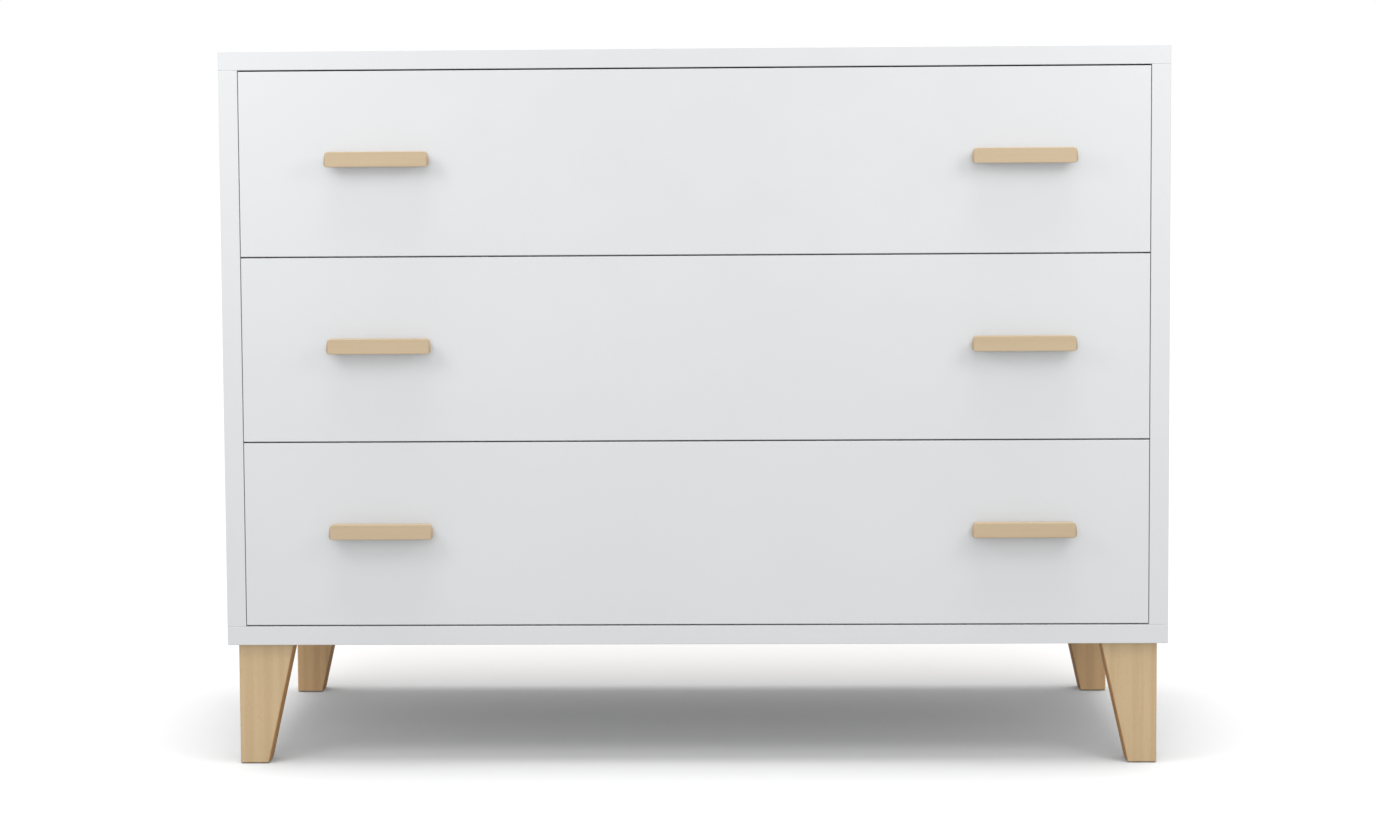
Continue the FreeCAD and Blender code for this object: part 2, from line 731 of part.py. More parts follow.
def make_legs(fixings):
    """Four legs with their bolts, inserts and glides."""
    depths = {
        "front": f"({FRONT_Y} + leg_recess + leg_thickness / 2)",
        "rear": f"({REAR_Y} - leg_recess - leg_thickness / 2)",
    }
    for end, y in depths.items():
        for side, sign in SIDES.items():
            name = f"{end}_{side}_leg"
            inward = opposite(f"{sign}x")
            outer = (f"{sign}(cabinet_width / 2 - leg_inset)", y, "0")
            blank = leg_blank(name)
            place(blank, outer, turned("+z", inward))
            side_gap = "(leg_bolt_side_gap + leg_bolt_head_radius)"
            for distance in (side_gap, f"{side_gap} + leg_bolt_spacing"):
                head = move((f"{sign}{HALF_INNER}", y, FLOOR_Z), inward, distance)
                mouth = (head[0], head[1], LEG_TOP_Z)
                fixings.fasten("leg_bolts", leg_bolt, head, turned("-z"))
                fixings.drill("bottom_panel", leg_bolt_hole, head, turned("-z"))
                fixings.fasten("leg_inserts", insert, mouth, turned("-z"))
                fixings.drill(name, insert_hole, mouth, turned("-z"))
            foot = move(outer, inward, "leg_foot_width / 2")
            fixings.fasten("leg_glides", glide, foot, turned("+z"))
            pin = (foot[0], foot[1], "glide_thickness")
            fixings.drill(name, glide_hole, pin, turned("+z"))
            fixings.finish_board(name, blank)


def make_wall_brackets(fixings):
    """Two steel angles under the top panel, with a hole each for a screw to the wall."""
    brackets = []
    for sign in SIDES.values():
        body = doc.addObject("PartDesign::Body", "bracket_blank")
        sketch = new_sketch(body, "YZ_Plane")
        draw_polygon(sketch, [("0", "0"), ("-bracket_leaf", "0"),
                              ("-bracket_leaf", "-bracket_gauge"),
                              ("-bracket_gauge", "-bracket_gauge"),
                              ("-bracket_gauge", "-bracket_leaf"), ("0", "-bracket_leaf")])
        pad(body, sketch, "bracket_width", midplane=True)
        x = f"{sign}bracket_spacing / 2"
        place(body, (x, BACK_PANEL_FRONT_Y, CEILING_Z))
        through = (x, f"{BACK_PANEL_REAR_Y} + back_panel_inset", f"{CEILING_Z} - wall_hole_drop")
        tools = [copy_of(wall_hole, through, turned("-y"))]
        fixings.drill("back_panel", wall_hole, through, turned("-y"))
        for heading in ("+x", "-x"):
            under = (x, f"{BACK_PANEL_FRONT_Y} - bracket_screw_offset",
                     f"{CEILING_Z} - bracket_gauge")
            point = move(under, heading, "bracket_screw_spacing / 2")
            tools.append(copy_of(panel_screw_hole, point, turned("+z")))
            fixings.screw("panel_screws", panel_screw, panel_screw_hole, ["top_panel"],
                          point, "+z")
        brackets.append(carved("bracket_piece", body, tools))
    sub_part("wall_brackets", grouped("wall_brackets_group", brackets))


def make_carcass():
    """The lacquered carcass with its rails, legs, brackets and outer runner members."""
    fixings = Fixings()
    add_carcass_joints(fixings)
    add_back_panel_screws(fixings)
    rabbet_half = f"({HALF_INNER} + rabbet_width)"
    rabbet_low = f"({FLOOR_Z} - rabbet_width)"
    rabbet_depth = f"({REAR_Y} - {BACK_PANEL_FRONT_Y})"
    rabbet_height = f"({SIDE_PANEL_HEIGHT} + 2 * rabbet_width)"
    for board in ("top_panel", "bottom_panel", "left_side_panel", "right_side_panel"):
        corner = (f"-{rabbet_half}", BACK_PANEL_FRONT_Y, rabbet_low)
        size = (f"2 * {rabbet_half}", rabbet_depth, rabbet_height)
        fixings.cut(board, box_tool(f"{board}_rabbet", size, corner))

    for index, name in ((1, "lower_rail"), (2, "upper_rail")):
        rail_z = f"({drawer_floor_z(index)} - reveal / 2)"
        blank = board_blank(name, (INNER_WIDTH, "rail_depth", "rail_thickness"),
                            (f"-{HALF_INNER}", f"{FRONT_BACK_Y} + rail_setback",
                             f"{rail_z} - rail_thickness / 2"))
        add_rail_joints(fixings, name, rail_z)
        fixings.finish_board(name, blank)

    outer_members = []
    for index, drawer in enumerate(DRAWER_NAMES):
        add_runner_screws(fixings, index)
        for side in SIDES:
            outer_members.append(runner_member(f"{drawer}_{side}_outer", side, HALF_INNER,
                                               OUTER_DEPTH, "runner_height", True,
                                               runner_z(index)))
    sub_part("cabinet_runners", grouped("cabinet_runners_group", outer_members))

    make_legs(fixings)
    make_wall_brackets(fixings)

    half_width = "cabinet_width / 2"
    deck_size = ("cabinet_width", "cabinet_depth", "board")
    top = board_blank("top_panel", deck_size, (f"-{half_width}", FRONT_Y, CEILING_Z))
    fixings.finish_board("top_panel", top)
    bottom = board_blank("bottom_panel", deck_size, (f"-{half_width}", FRONT_Y, LEG_TOP_Z))
    fixings.finish_board("bottom_panel", bottom)
    upright_size = ("board", "cabinet_depth", SIDE_PANEL_HEIGHT)
    for side, x in (("left", f"-{half_width}"), ("right", HALF_INNER)):
        upright = board_blank(f"{side}_side_panel", upright_size, (x, FRONT_Y, FLOOR_Z))
        fixings.finish_board(f"{side}_side_panel", upright)

    back_half = f"({rabbet_half} - back_panel_fit)"
    back = board_blank("back_panel",
                       (f"2 * {back_half}", "back_panel_thickness",
                        f"{rabbet_height} - 2 * back_panel_fit"),
                       (f"-{back_half}", BACK_PANEL_FRONT_Y, f"{rabbet_low} + back_panel_fit"),
                       rounded=False)
    fixings.finish_board("back_panel", back)

    for kind in ("cam_locks", "cam_bolts", "dowels", "leg_bolts", "leg_inserts", "leg_glides"):
        fixings.finish_fasteners(kind, kind)
    fixings.finish_fasteners("panel_screws", "cabinet_screws")


# ------------------------------------------------------------------------------------ drawers

def handle_blank(name):
    """A bar handle with bowed ends and a finger groove along its top and its underside.

    Its back is the plane y = 0, its face is at y = -handle_projection, and it is centred on
    x = 0 and z = 0.
    """
    body = doc.addObject("PartDesign::Body", f"{name}_blank")
    sketch = new_sketch(body, "XZ_Plane")
    half_length = value("handle_length / 2")
    half_height = value("handle_height / 2")
    bow = value("handle_end_bow")
    corners = [FreeCAD.Vector(sx * (half_length - bow), sz * half_height, 0)
               for sx, sz in ((-1, -1), (1, -1), (1, 1), (-1, 1))]
    crown_right = FreeCAD.Vector(half_length, 0, 0)
    crown_left = FreeCAD.Vector(-half_length, 0, 0)
    sketch.addGeometry(Part.LineSegment(corners[0], corners[1]), False)
    sketch.addGeometry(Part.Arc(corners[1], crown_right, corners[2]), False)
    sketch.addGeometry(Part.LineSegment(corners[2], corners[3]), False)
    sketch.addGeometry(Part.Arc(corners[3], crown_left, corners[0]), False)
    for edge in range(4):
        following = (edge + 1) % 4
        sketch.addConstraint(Sketcher.Constraint("Coincident", edge, 2, following, 1))
    straight = "(handle_length / 2 - handle_end_bow)"
    corner_places = [(0, f"-{straight}", "-handle_height / 2"),
                     (1, straight, "-handle_height / 2"),
                     (2, straight, "handle_height / 2"),
                     (3, f"-{straight}", "handle_height / 2")]
    for edge, u, v in corner_places:
        pin_coordinate(sketch, edge, "X", f"corner{edge}u", value(u), u)
        pin_coordinate(sketch, edge, "Y", f"corner{edge}v", value(v), v)
    bow_radius = "(handle_height ^ 2 / (8 * handle_end_bow) + handle_end_bow / 2)"
    for edge, end in ((1, "right"), (3, "left")):
        radius = Sketcher.Constraint("Radius", edge, value(bow_radius))
        bind_constraint(sketch, f"{end}_bow", radius, bow_radius)
    solid = pad(body, sketch, "handle_projection")

    def is_corner(edge):
        box = edge.BoundBox
        return box.XLength < EDGE_TOLERANCE and box.ZLength < EDGE_TOLERANCE

    solid = fillet(body, solid, "handle_corner_round", is_corner)

    groove_reach = "(handle_projection - handle_lip)"
    for sign in ("-", ""):
        groove = new_sketch(body, "YZ_Plane")
        draw_polygon(groove, [("0", f"{sign}handle_neck / 2"),
                              (f"-{groove_reach}", f"{sign}handle_neck / 2"),
                              (f"-{groove_reach}", f"{sign}handle_height"),
                              ("0", f"{sign}handle_height")])
        solid = pocket_through(body, groove)

    groove_y = -value(groove_reach)
    neck_z = value("handle_neck / 2")
    face_y = -value("handle_projection")

    def is_groove_root(edge):
        box = edge.BoundBox
        at_root = abs(box.YMin - groove_y) < EDGE_TOLERANCE and box.YLength < EDGE_TOLERANCE
        on_neck = abs(abs(box.ZMin) - neck_z) < EDGE_TOLERANCE and box.ZLength < EDGE_TOLERANCE
        return at_root and on_neck

    def is_face_edge(edge):
        return abs(edge.BoundBox.YMax - face_y) < EDGE_TOLERANCE

    solid = fillet(body, solid, "handle_groove_round", is_groove_root)
    fillet(body, solid, "handle_edge_round", is_face_edge)
    return body


def add_drawer_cams(fixings, name, floor_z):
    """Cams let into the outsides of the drawer's sides draw the front on."""
    for side, sign in SIDES.items():
        for rise in ("lower_cam_rise", f"{SIDE_HEIGHT} - upper_cam_drop"):
            point = (f"{sign}({BOX_HALF_WIDTH} - cam_axis_depth)", FRONT_BACK_Y,
                     f"{floor_z} + side_lift + {rise}")
            fixings.cam_joint(f"{name}_{side}_side", f"{name}_front", point, "+y",
                              f"{sign}x", "cams", "cams")


def add_drawer_screws(fixings, name, floor_z, bottom_z, centre_z):
    """Corner screws, bottom screws and the runners' screws."""
    back_mid_y = f"{BOX_REAR_Y} - side_thickness / 2"
    for side, sign in SIDES.items():
        inward = opposite(f"{sign}x")
        for rise in ("lower_corner_screw_rise", f"{SIDE_HEIGHT} - upper_corner_screw_drop"):
            point = (f"{sign}{BOX_HALF_WIDTH}", back_mid_y, f"{floor_z} + side_lift + {rise}")
            fixings.screw("corner_screws", corner_screw, corner_screw_hole,
                          [f"{name}_{side}_side", f"{name}_back"], point, inward)
        for y in runner_screw_places():
            point = (f"{sign}({BOX_HALF_WIDTH} + runner_gauge)", y, centre_z)
            fixings.screw("panel_screws", panel_screw, panel_screw_hole,
                          [f"{name}_{side}_side"], point, inward)
    for x in spread(f"-{BOX_INNER_HALF} + back_screw_margin",
                    f"{BOX_INNER_HALF} - back_screw_margin", BOTTOM_SCREWS):
        fixings.screw("panel_screws", panel_screw, panel_screw_hole,
                      [f"{name}_bottom", f"{name}_back"], (x, back_mid_y, bottom_z), "+z")


def make_handles(fixings, name, floor_z):
    """The two bar handles with the screws that hold them from inside the drawer."""
    centre_z = f"{floor_z} + {FRONT_HEIGHT} / 2 + handle_rise"
    for side, sign in SIDES.items():
        handle_name = f"{name}_{side}_handle"
        blank = handle_blank(handle_name)
        centre = (f"handle_shift {sign} handle_offset", FRONT_Y, centre_z)
        place(blank, centre)
        for heading in ("+x", "-x"):
            point = move((centre[0], FRONT_BACK_Y, centre_z), heading,
                         "handle_screw_spacing / 2")
            fixings.screw("handle_screws", handle_screw, handle_screw_hole,
                          [f"{name}_front", handle_name], point, "-y")
        fixings.finish_board(handle_name, blank)


def make_drawer(index):
    """One drawer: its front, box, bottom, handles, fittings and runner members."""
    name = f"{DRAWER_NAMES[index]}_drawer"
    floor_z = drawer_floor_z(index)
    side_z = f"({floor_z} + side_lift)"
    bottom_z = f"({side_z} + bottom_lift)"
    centre_z = runner_z(index)
    fixings = Fixings()
    add_drawer_cams(fixings, name, floor_z)
    add_drawer_screws(fixings, name, floor_z, bottom_z, centre_z)
    make_handles(fixings, name, floor_z)

    groove_half = f"({BOX_INNER_HALF} + groove_depth)"
    groove_front = f"({FRONT_BACK_Y} - groove_depth)"
    groove_size = (f"2 * {groove_half}", f"{BOX_REAR_Y} - {groove_front} + hole_fit",
                   "bottom_thickness + groove_top_gap")
    for board in ("front", "left_side", "right_side"):
        tool = box_tool(f"{name}_{board}_groove", groove_size,
                        (f"-{groove_half}", groove_front, bottom_z))
        fixings.cut(f"{name}_{board}", tool)

    front_half = f"({HALF_INNER} - side_reveal)"
    front = board_blank(f"{name}_front", (f"2 * {front_half}", "front_thickness", FRONT_HEIGHT),
                        (f"-{front_half}", FRONT_Y, floor_z))
    fixings.finish_board(f"{name}_front", front)
    side_size = ("side_thickness", "side_length", SIDE_HEIGHT)
    for side, x in (("left", f"-{BOX_HALF_WIDTH}"), ("right", BOX_INNER_HALF)):
        board = board_blank(f"{name}_{side}_side", side_size, (x, FRONT_BACK_Y, side_z))
        fixings.finish_board(f"{name}_{side}_side", board)
    back = board_blank(f"{name}_back",
                       (f"2 * {BOX_INNER_HALF}", "side_thickness",
                        f"{SIDE_HEIGHT} - bottom_lift - bottom_thickness"),
                       (f"-{BOX_INNER_HALF}", f"{BOX_REAR_Y} - side_thickness",
                        f"{bottom_z} + bottom_thickness"))
    fixings.finish_board(f"{name}_back", back)
    bottom_half = f"({groove_half} - groove_end_gap)"
    bottom_front = f"({groove_front} + groove_end_gap)"
    bottom = board_blank(f"{name}_bottom",
                         (f"2 * {bottom_half}", f"{BOX_REAR_Y} - {bottom_front}",
                          "bottom_thickness"),
                         (f"-{bottom_half}", bottom_front, bottom_z), rounded=False)
    fixings.finish_board(f"{name}_bottom", bottom)

    carriers = []
    sliders = []
    for side in SIDES:
        carriers.append(runner_member(f"{name}_{side}_carrier", side,
                                      f"{HALF_INNER} - {CARRIER_WEB}", CARRIER_DEPTH,
                                      CARRIER_HEIGHT, True, centre_z, screwed=False))
        sliders.append(runner_member(f"{name}_{side}_slider", side, BOX_HALF_WIDTH,
                                     SLIDER_DEPTH, SLIDER_HEIGHT, False, centre_z))
    sub_part(f"{name}_carriers", grouped(f"{name}_carriers_group", carriers))
    sub_part(f"{name}_runners", grouped(f"{name}_runners_group", sliders))

    fixings.finish_fasteners("cams", f"{name}_cam_fittings")
    fixings.finish_fasteners("corner_screws", f"{name}_corner_screws")
    fixings.finish_fasteners("panel_screws", f"{name}_panel_screws")
    fixings.finish_fasteners("handle_screws", f"{name}_handle_screws")


# ----------------------------------------------------------------------------- build and write

make_carcass()
for drawer_index in range(len(DRAWER_NAMES)):
    make_drawer(drawer_index)
doc.recompute()

for item in doc.Objects:
    if "Invalid" in item.State or "Error" in item.State:
        raise RuntimeError(f"{item.Label} ({item.TypeId}) did not build: {item.State}")
for name, item in sub_parts.items():
    if item.Shape.isNull() or not item.Shape.isValid():
        raise RuntimeError(f"{name} has no valid shape")

os.makedirs("parts", exist_ok=True)
for name, item in sorted(sub_parts.items()):
    item.Shape.exportStep(os.path.join("parts", f"{name}.step"))
    print(f"{name}: {len(item.Shape.Solids)} solid(s), {item.Shape.Volume:.0f} mm3")
print(f"{len(sub_parts)} sub-parts")
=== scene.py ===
"""Looks of a three-drawer nursery dresser that serves as a changing table.

The carcass, drawers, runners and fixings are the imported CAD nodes.  This script gives every
node a procedural finish, makes finer meshes for the legs and the handles, and sets up a plain
studio.  Lengths are metres, in the frame of the CAD model: +X to the right of someone who
faces the drawers, +Y to the back, +Z up.
"""

import logging
import math
from dataclasses import dataclass
from enum import Enum
from typing import Callable, Sequence, Union

import bpy
import numpy as np
from mathutils import Matrix, Vector


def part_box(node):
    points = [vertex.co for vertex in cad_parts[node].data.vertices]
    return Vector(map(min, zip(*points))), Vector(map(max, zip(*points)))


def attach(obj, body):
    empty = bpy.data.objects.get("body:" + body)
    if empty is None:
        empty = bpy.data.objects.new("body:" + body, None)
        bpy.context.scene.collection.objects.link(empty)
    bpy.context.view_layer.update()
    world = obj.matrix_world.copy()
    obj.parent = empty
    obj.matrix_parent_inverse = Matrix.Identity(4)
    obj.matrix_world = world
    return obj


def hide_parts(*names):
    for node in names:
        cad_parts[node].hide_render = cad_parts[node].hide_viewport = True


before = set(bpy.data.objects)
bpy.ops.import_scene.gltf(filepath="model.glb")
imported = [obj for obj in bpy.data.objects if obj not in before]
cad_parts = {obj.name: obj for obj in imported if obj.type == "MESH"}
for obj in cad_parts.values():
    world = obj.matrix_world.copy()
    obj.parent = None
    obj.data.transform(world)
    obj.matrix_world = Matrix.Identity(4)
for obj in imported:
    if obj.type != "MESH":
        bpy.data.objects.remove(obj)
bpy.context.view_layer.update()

LOG = logging.getLogger("dresser")
MIX_FIRST_COLOUR = 6  # the Mix node's sockets for colours, by index since their names repeat
MIX_SECOND_COLOUR = 7
MIXED_COLOUR = 2
BEVEL_SAMPLES = 6
WHOLE_EDGE_LEAN = 0.22  # 1 less the cosine of the angle between the two normals at a whole edge

Socket = bpy.types.NodeSocket
Feed = Union[Socket, float, Sequence[float]]
Colour = tuple[float, float, float, float]
Point = tuple[float, float, float]


class Axis(Enum):
    """A direction of the object's frame, as the index of its coordinate."""

    X = 0
    Y = 1
    Z = 2


# ---- Shader building

class Graph:
    """Adds nodes to one node tree and joins them."""

    def __init__(self, tree: bpy.types.NodeTree) -> None:
        """Starts on the node tree of a material or of a group."""
        self.tree = tree

    def add(self, kind: str, **settings: object) -> bpy.types.Node:
        """Adds a node.

        Args:
            kind: Blender's name of the node type.
            **settings: Properties to set on the node.

        Returns:
            The new node.
        """
        node = self.tree.nodes.new(kind)
        for name, setting in settings.items():
            setattr(node, name, setting)
        return node

    def feed(self, target: Socket, source: Feed) -> None:
        """Joins a socket to an input, or sets the input to a constant.

        Args:
            target: The input.
            source: A socket, a number or a colour.
        """
        if isinstance(source, bpy.types.NodeSocket):
            self.tree.links.new(source, target)
        else:
            target.default_value = source

    def fill(self, node: bpy.types.Node, **inputs: Feed) -> bpy.types.Node:
        """Feeds several inputs of a node.

        Args:
            node: The node.
            **inputs: Its inputs, with spaces in their names written as underscores.

        Returns:
            The node.
        """
        for name, source in inputs.items():
            self.feed(node.inputs[name.replace("_", " ")], source)
        return node

    def maths(self, operation: str, *values: Feed) -> Socket:
        """One sum on one, two or three values.

        Args:
            operation: The Math node's operation.
            *values: The values.

        Returns:
            The result's socket.
        """
        node = self.add("ShaderNodeMath", operation=operation)
        for socket, source in zip(node.inputs, values):
            self.feed(socket, source)
        return node.outputs[0]

    def times(self, first: Feed, second: Feed) -> Socket:
        """The product of two values."""
        return self.maths("MULTIPLY", first, second)

    def spread(self, value: Feed, low: float, high: float, new_low: float = 0.0,
               new_high: float = 1.0) -> Socket:
        """Carries a value from one range to another, clamped, with soft ends.

        Args:
            value: The value.
            low: The old range's start.
            high: The old range's end.
            new_low: The new range's start.
            new_high: The new range's end.

        Returns:
            The result's socket.
        """
        node = self.add("ShaderNodeMapRange", interpolation_type="SMOOTHSTEP")
        for socket, source in zip(node.inputs, (value, low, high, new_low, new_high)):
            self.feed(socket, source)
        return node.outputs[0]

    def stretched(self, vector: Socket, scale: Sequence[float]) -> Socket:
        """Multiplies a vector, axis by axis.

        Args:
            vector: The vector.
            scale: The factor along each axis.

        Returns:
            The result's socket.
        """
        node = self.add("ShaderNodeVectorMath", operation="MULTIPLY")
        self.feed(node.inputs[0], vector)
        self.feed(node.inputs[1], scale)
        return node.outputs[0]

    def noise(self, vector: Socket, scale: Feed, detail: float = 2.0, roughness: float = 0.5) -> Socket:
        """Smooth noise between 0 and 1.

        Args:
            vector: Where the noise is read.
            scale: Features per metre.
            detail: Octaves.
            roughness: How strong the fine octaves are.

        Returns:
            The noise value's socket.
        """
        node = self.add("ShaderNodeTexNoise")
        self.fill(node, Vector=vector, Scale=scale, Detail=detail, Roughness=roughness)
        return node.outputs["Fac"]

    def streaks(self, vector: Socket, along: float, scale: Feed, detail: float,
                roughness: float) -> Socket:
        """Noise drawn out along Z, where its rate is only a share, along, of the rate across."""
        return self.noise(self.stretched(vector, (1.0, 1.0, along)), scale, detail, roughness)

    def blend(self, factor: Feed, first: Feed, second: Feed, how: str = "MIX") -> Socket:
        """Mixes two colours.

        Args:
            factor: 0 for the first colour, 1 for the second.
            first: The first colour.
            second: The second colour.
            how: The Mix node's way: MIX, or MULTIPLY to tint the first with the second.

        Returns:
            The mixed colour's socket.
        """
        node = self.add("ShaderNodeMix", data_type="RGBA", blend_type=how)
        self.feed(node.inputs["Factor"], factor)
        self.feed(node.inputs[MIX_FIRST_COLOUR], first)
        self.feed(node.inputs[MIX_SECOND_COLOUR], second)
        return node.outputs[MIXED_COLOUR]

    def parts(self, vector: Socket) -> Sequence[Socket]:
        """Takes a vector apart.

        Args:
            vector: The vector.

        Returns:
            The sockets of its X, Y and Z.
        """
        node = self.add("ShaderNodeSeparateXYZ")
        self.feed(node.inputs[0], vector)
        return node.outputs

    def facing(self) -> Sequence[Socket]:
        """The X, Y and Z of the surface's normal."""
        return self.parts(self.add("ShaderNodeNewGeometry").outputs["Normal"])

    def own(self) -> Socket:
        """The object's own coordinates, in metres, which ride with it."""
        return self.add("ShaderNodeTexCoord").outputs["Object"]

    def own_along(self, axis: Axis) -> Socket:
        """The object's own coordinates, their axes taken round so that one of them becomes Z.

        Args:
            axis: The axis that becomes Z.

        Returns:
            The turned coordinates' socket.
        """
        parts = self.parts(self.own())
        joined = self.add("ShaderNodeCombineXYZ")
        order = [(axis.value + 1) % 3, (axis.value + 2) % 3, axis.value]
        for place, source in enumerate(order):
            self.feed(joined.inputs[place], parts[source])
        return joined.outputs[0]

    def relief(self, height: Socket, depth: float) -> Socket:
        """The surface's normal, raised by a height of about 0 to 1 times a depth in metres."""
        node = self.fill(self.add("ShaderNodeBump"), Strength=1.0, Distance=depth, Height=height)
        return node.outputs["Normal"]

    def place(self, group: bpy.types.NodeTree, **inputs: Feed) -> bpy.types.Node:
        """Places a shared node group and feeds its inputs."""
        return self.fill(self.add("ShaderNodeGroup", node_tree=group), **inputs)


@dataclass(frozen=True)
class Effect:
    """A shader node group that several finishes share, built once.

    Attributes:
        name: The group's name.
        inputs: Each input's name and socket type.
        outputs: Each output's name and socket type.
        draw: Fills the group, given its graph, input node and output node.
    """

    name: str
    inputs: dict[str, str]
    outputs: dict[str, str]
    draw: Callable[[Graph, bpy.types.Node, bpy.types.Node], None]

    def tree(self) -> bpy.types.NodeTree:
        """The group's node tree, built the first time it is asked for.

        Returns:
            The tree.
        """
        found = bpy.data.node_groups.get(self.name)
        if found is not None:
            return found
        made = bpy.data.node_groups.new(self.name, "ShaderNodeTree")
        for way, sockets in (("INPUT", self.inputs), ("OUTPUT", self.outputs)):
            for name, kind in sockets.items():
                made.interface.new_socket(name, in_out=way, socket_type=kind)
        graph = Graph(made)
        self.draw(graph, graph.add("NodeGroupInput"), graph.add("NodeGroupOutput"))
        return made


VECTOR = "NodeSocketVector"
VALUE = "NodeSocketFloat"


def draw_grain(graph: Graph, given: bpy.types.Node, result: bpy.types.Node) -> None:
    """Wood grain that runs along the given vector's Z.

    Figure is the broad growth bands: noise stretched far along the grain, with a little of a
    ringed wave.  Fibre is fine noise stretched along the grain.  Fleck is short dark pores,
    where stretched noise passes a threshold.  Height is fibres less pores.

    Args:
        graph: The group's graph.
        given: The group's input node.
        result: The group's output node.
    """
    vector = given.outputs["Vector"]
    bands = graph.streaks(vector, 0.04, given.outputs["Band Rate"], detail=3.0, roughness=0.55)
    wave = graph.add("ShaderNodeTexWave", wave_type="RINGS", rings_direction="Z")
    graph.fill(wave, Vector=graph.stretched(vector, (1.0, 0.45, 0.035)), Scale=17.0, Distortion=7.0,
               Detail=3.0, Detail_Scale=1.3)
    rings = graph.spread(wave.outputs["Fac"], 0.15, 0.95)
    figure = graph.maths("MULTIPLY_ADD", rings, 0.2, graph.times(bands, 0.8))
    fibre = graph.streaks(vector, 0.022, 1300.0, detail=3.0, roughness=0.6)
    pores = graph.streaks(vector, 0.13, 1500.0, detail=1.0, roughness=0.4)
    fleck = graph.spread(pores, 0.63, 0.75)
    height = graph.maths("SUBTRACT", graph.times(fibre, 0.5), fleck)
    graph.fill(result, Figure=figure, Fibre=fibre, Fleck=fleck, Height=height)


GRAIN = Effect("WoodGrain", {"Vector": VECTOR, "Band Rate": VALUE},
               {"Figure": VALUE, "Fibre": VALUE, "Fleck": VALUE, "Height": VALUE}, draw_grain)


def draw_lacquer_skin(graph: Graph, given: bpy.types.Node, result: bpy.types.Node) -> None:
    """The skin of sprayed satin lacquer.

    Tone is a slow drift of the coat's thickness.  Sheen is where the coat dried a little
    flatter.  Height is orange peel: rounded noise a few millimetres across, with a finer one.

    Args:
        graph: The group's graph.
        given: The group's input node.
        result: The group's output node.
    """
    vector = given.outputs["Vector"]
    tone = graph.noise(vector, 3.5, detail=2.0)
    sheen = graph.noise(vector, 17.0, detail=3.0, roughness=0.6)
    peel = graph.noise(vector, 230.0, detail=1.0)
    fine = graph.noise(vector, 900.0, detail=1.0)
    height = graph.maths("MULTIPLY_ADD", fine, 0.25, peel)
    graph.fill(result, Tone=tone, Sheen=sheen, Height=height)


LACQUER_SKIN = Effect("LacquerSkin", {"Vector": VECTOR},
                      {"Tone": VALUE, "Sheen": VALUE, "Height": VALUE}, draw_lacquer_skin)


def draw_edge(graph: Graph, given: bpy.types.Node, result: bpy.types.Node) -> None:
    """A mask of edges: 1 where the rounded normal leaves the surface's own normal.

    Args:
        graph: The group's graph.
        given: The group's input node.
        result: The group's output node.
    """
    bevel = graph.add("ShaderNodeBevel", samples=BEVEL_SAMPLES)
    graph.feed(bevel.inputs["Radius"], given.outputs["Radius"])
    surface = graph.add("ShaderNodeNewGeometry")
    turn = graph.add("ShaderNodeVectorMath", operation="DOT_PRODUCT")
    graph.feed(turn.inputs[0], bevel.outputs["Normal"])
    graph.feed(turn.inputs[1], surface.outputs["Normal"])
    lean = graph.maths("SUBTRACT", 1.0, turn.outputs["Value"])
    graph.feed(result.inputs["Edge"], graph.spread(lean, 0.0, WHOLE_EDGE_LEAN))


EDGE = Effect("EdgeCatch", {"Radius": VALUE}, {"Edge": VALUE}, draw_edge)


def draw_steel_skin(graph: Graph, given: bpy.types.Node, result: bpy.types.Node) -> None:
    """The skin of bright metal.

    Streak is fine marks along the given vector's Z.  Bloom is cloudy patches.

    Args:
        graph: The group's graph.
        given: The group's input node.
        result: The group's output node.
    """
    vector = given.outputs["Vector"]
    streak = graph.streaks(vector, 0.01, 1600.0, detail=3.0, roughness=0.6)
    bloom = graph.noise(vector, 85.0, detail=3.0, roughness=0.55)
    graph.fill(result, Streak=streak, Bloom=bloom)


STEEL_SKIN = Effect("SteelSkin", {"Vector": VECTOR}, {"Streak": VALUE, "Bloom": VALUE},
                    draw_steel_skin)


def draw_dust(graph: Graph, given: bpy.types.Node, result: bpy.types.Node) -> None:
    """A thin film of dust on what faces up.

    Dust is the surface normal's height, sharpened, times patchy noise.

    Args:
        graph: The group's graph.
        given: The group's input node.
        result: The group's output node.
    """
    upward = graph.spread(graph.facing()[Axis.Z.value], 0.6, 1.0)
    cloud = graph.noise(given.outputs["Vector"], 26.0, detail=4.0, roughness=0.65)
    patches = graph.spread(cloud, 0.3, 0.8, 0.3, 1.0)
    graph.feed(result.inputs["Dust"], graph.times(upward, patches))


DUST = Effect("RestingDust", {"Vector": VECTOR}, {"Dust": VALUE}, draw_dust)


@dataclass(frozen=True)
class Finish:
    """What every finish has: a name and the roughness of its surface.

    Attributes:
        name: The material's name.
        roughness: The mean roughness.
    """

    name: str
    roughness: float

    def material(self) -> bpy.types.Material:
        """The material, made the first time it is asked for.

        Returns:
            The material.
        """
        found = bpy.data.materials.get(self.name)
        if found is not None:
            return found
        made = bpy.data.materials.new(self.name)
        made.use_nodes = True
        graph = Graph(made.node_tree)
        made.node_tree.nodes.clear()
        shader = graph.add("ShaderNodeBsdfPrincipled")
        output = graph.add("ShaderNodeOutputMaterial")
        graph.feed(output.inputs["Surface"], shader.outputs["BSDF"])
        shader.inputs["Roughness"].default_value = self.roughness
        self.draw(graph, shader)
        return made

    def draw(self, graph: Graph, shader: bpy.types.Node) -> None:
        """Feeds the Principled shader of a material.  Each finish has its own way."""
        raise NotImplementedError

    def rough(self, graph: Graph, value: Socket, low: float, high: float, less: float,
              more: float) -> Socket:
        """The roughness: less under its mean where the value is low, more over it where high."""
        return graph.spread(value, low, high, self.roughness - less, self.roughness + more)


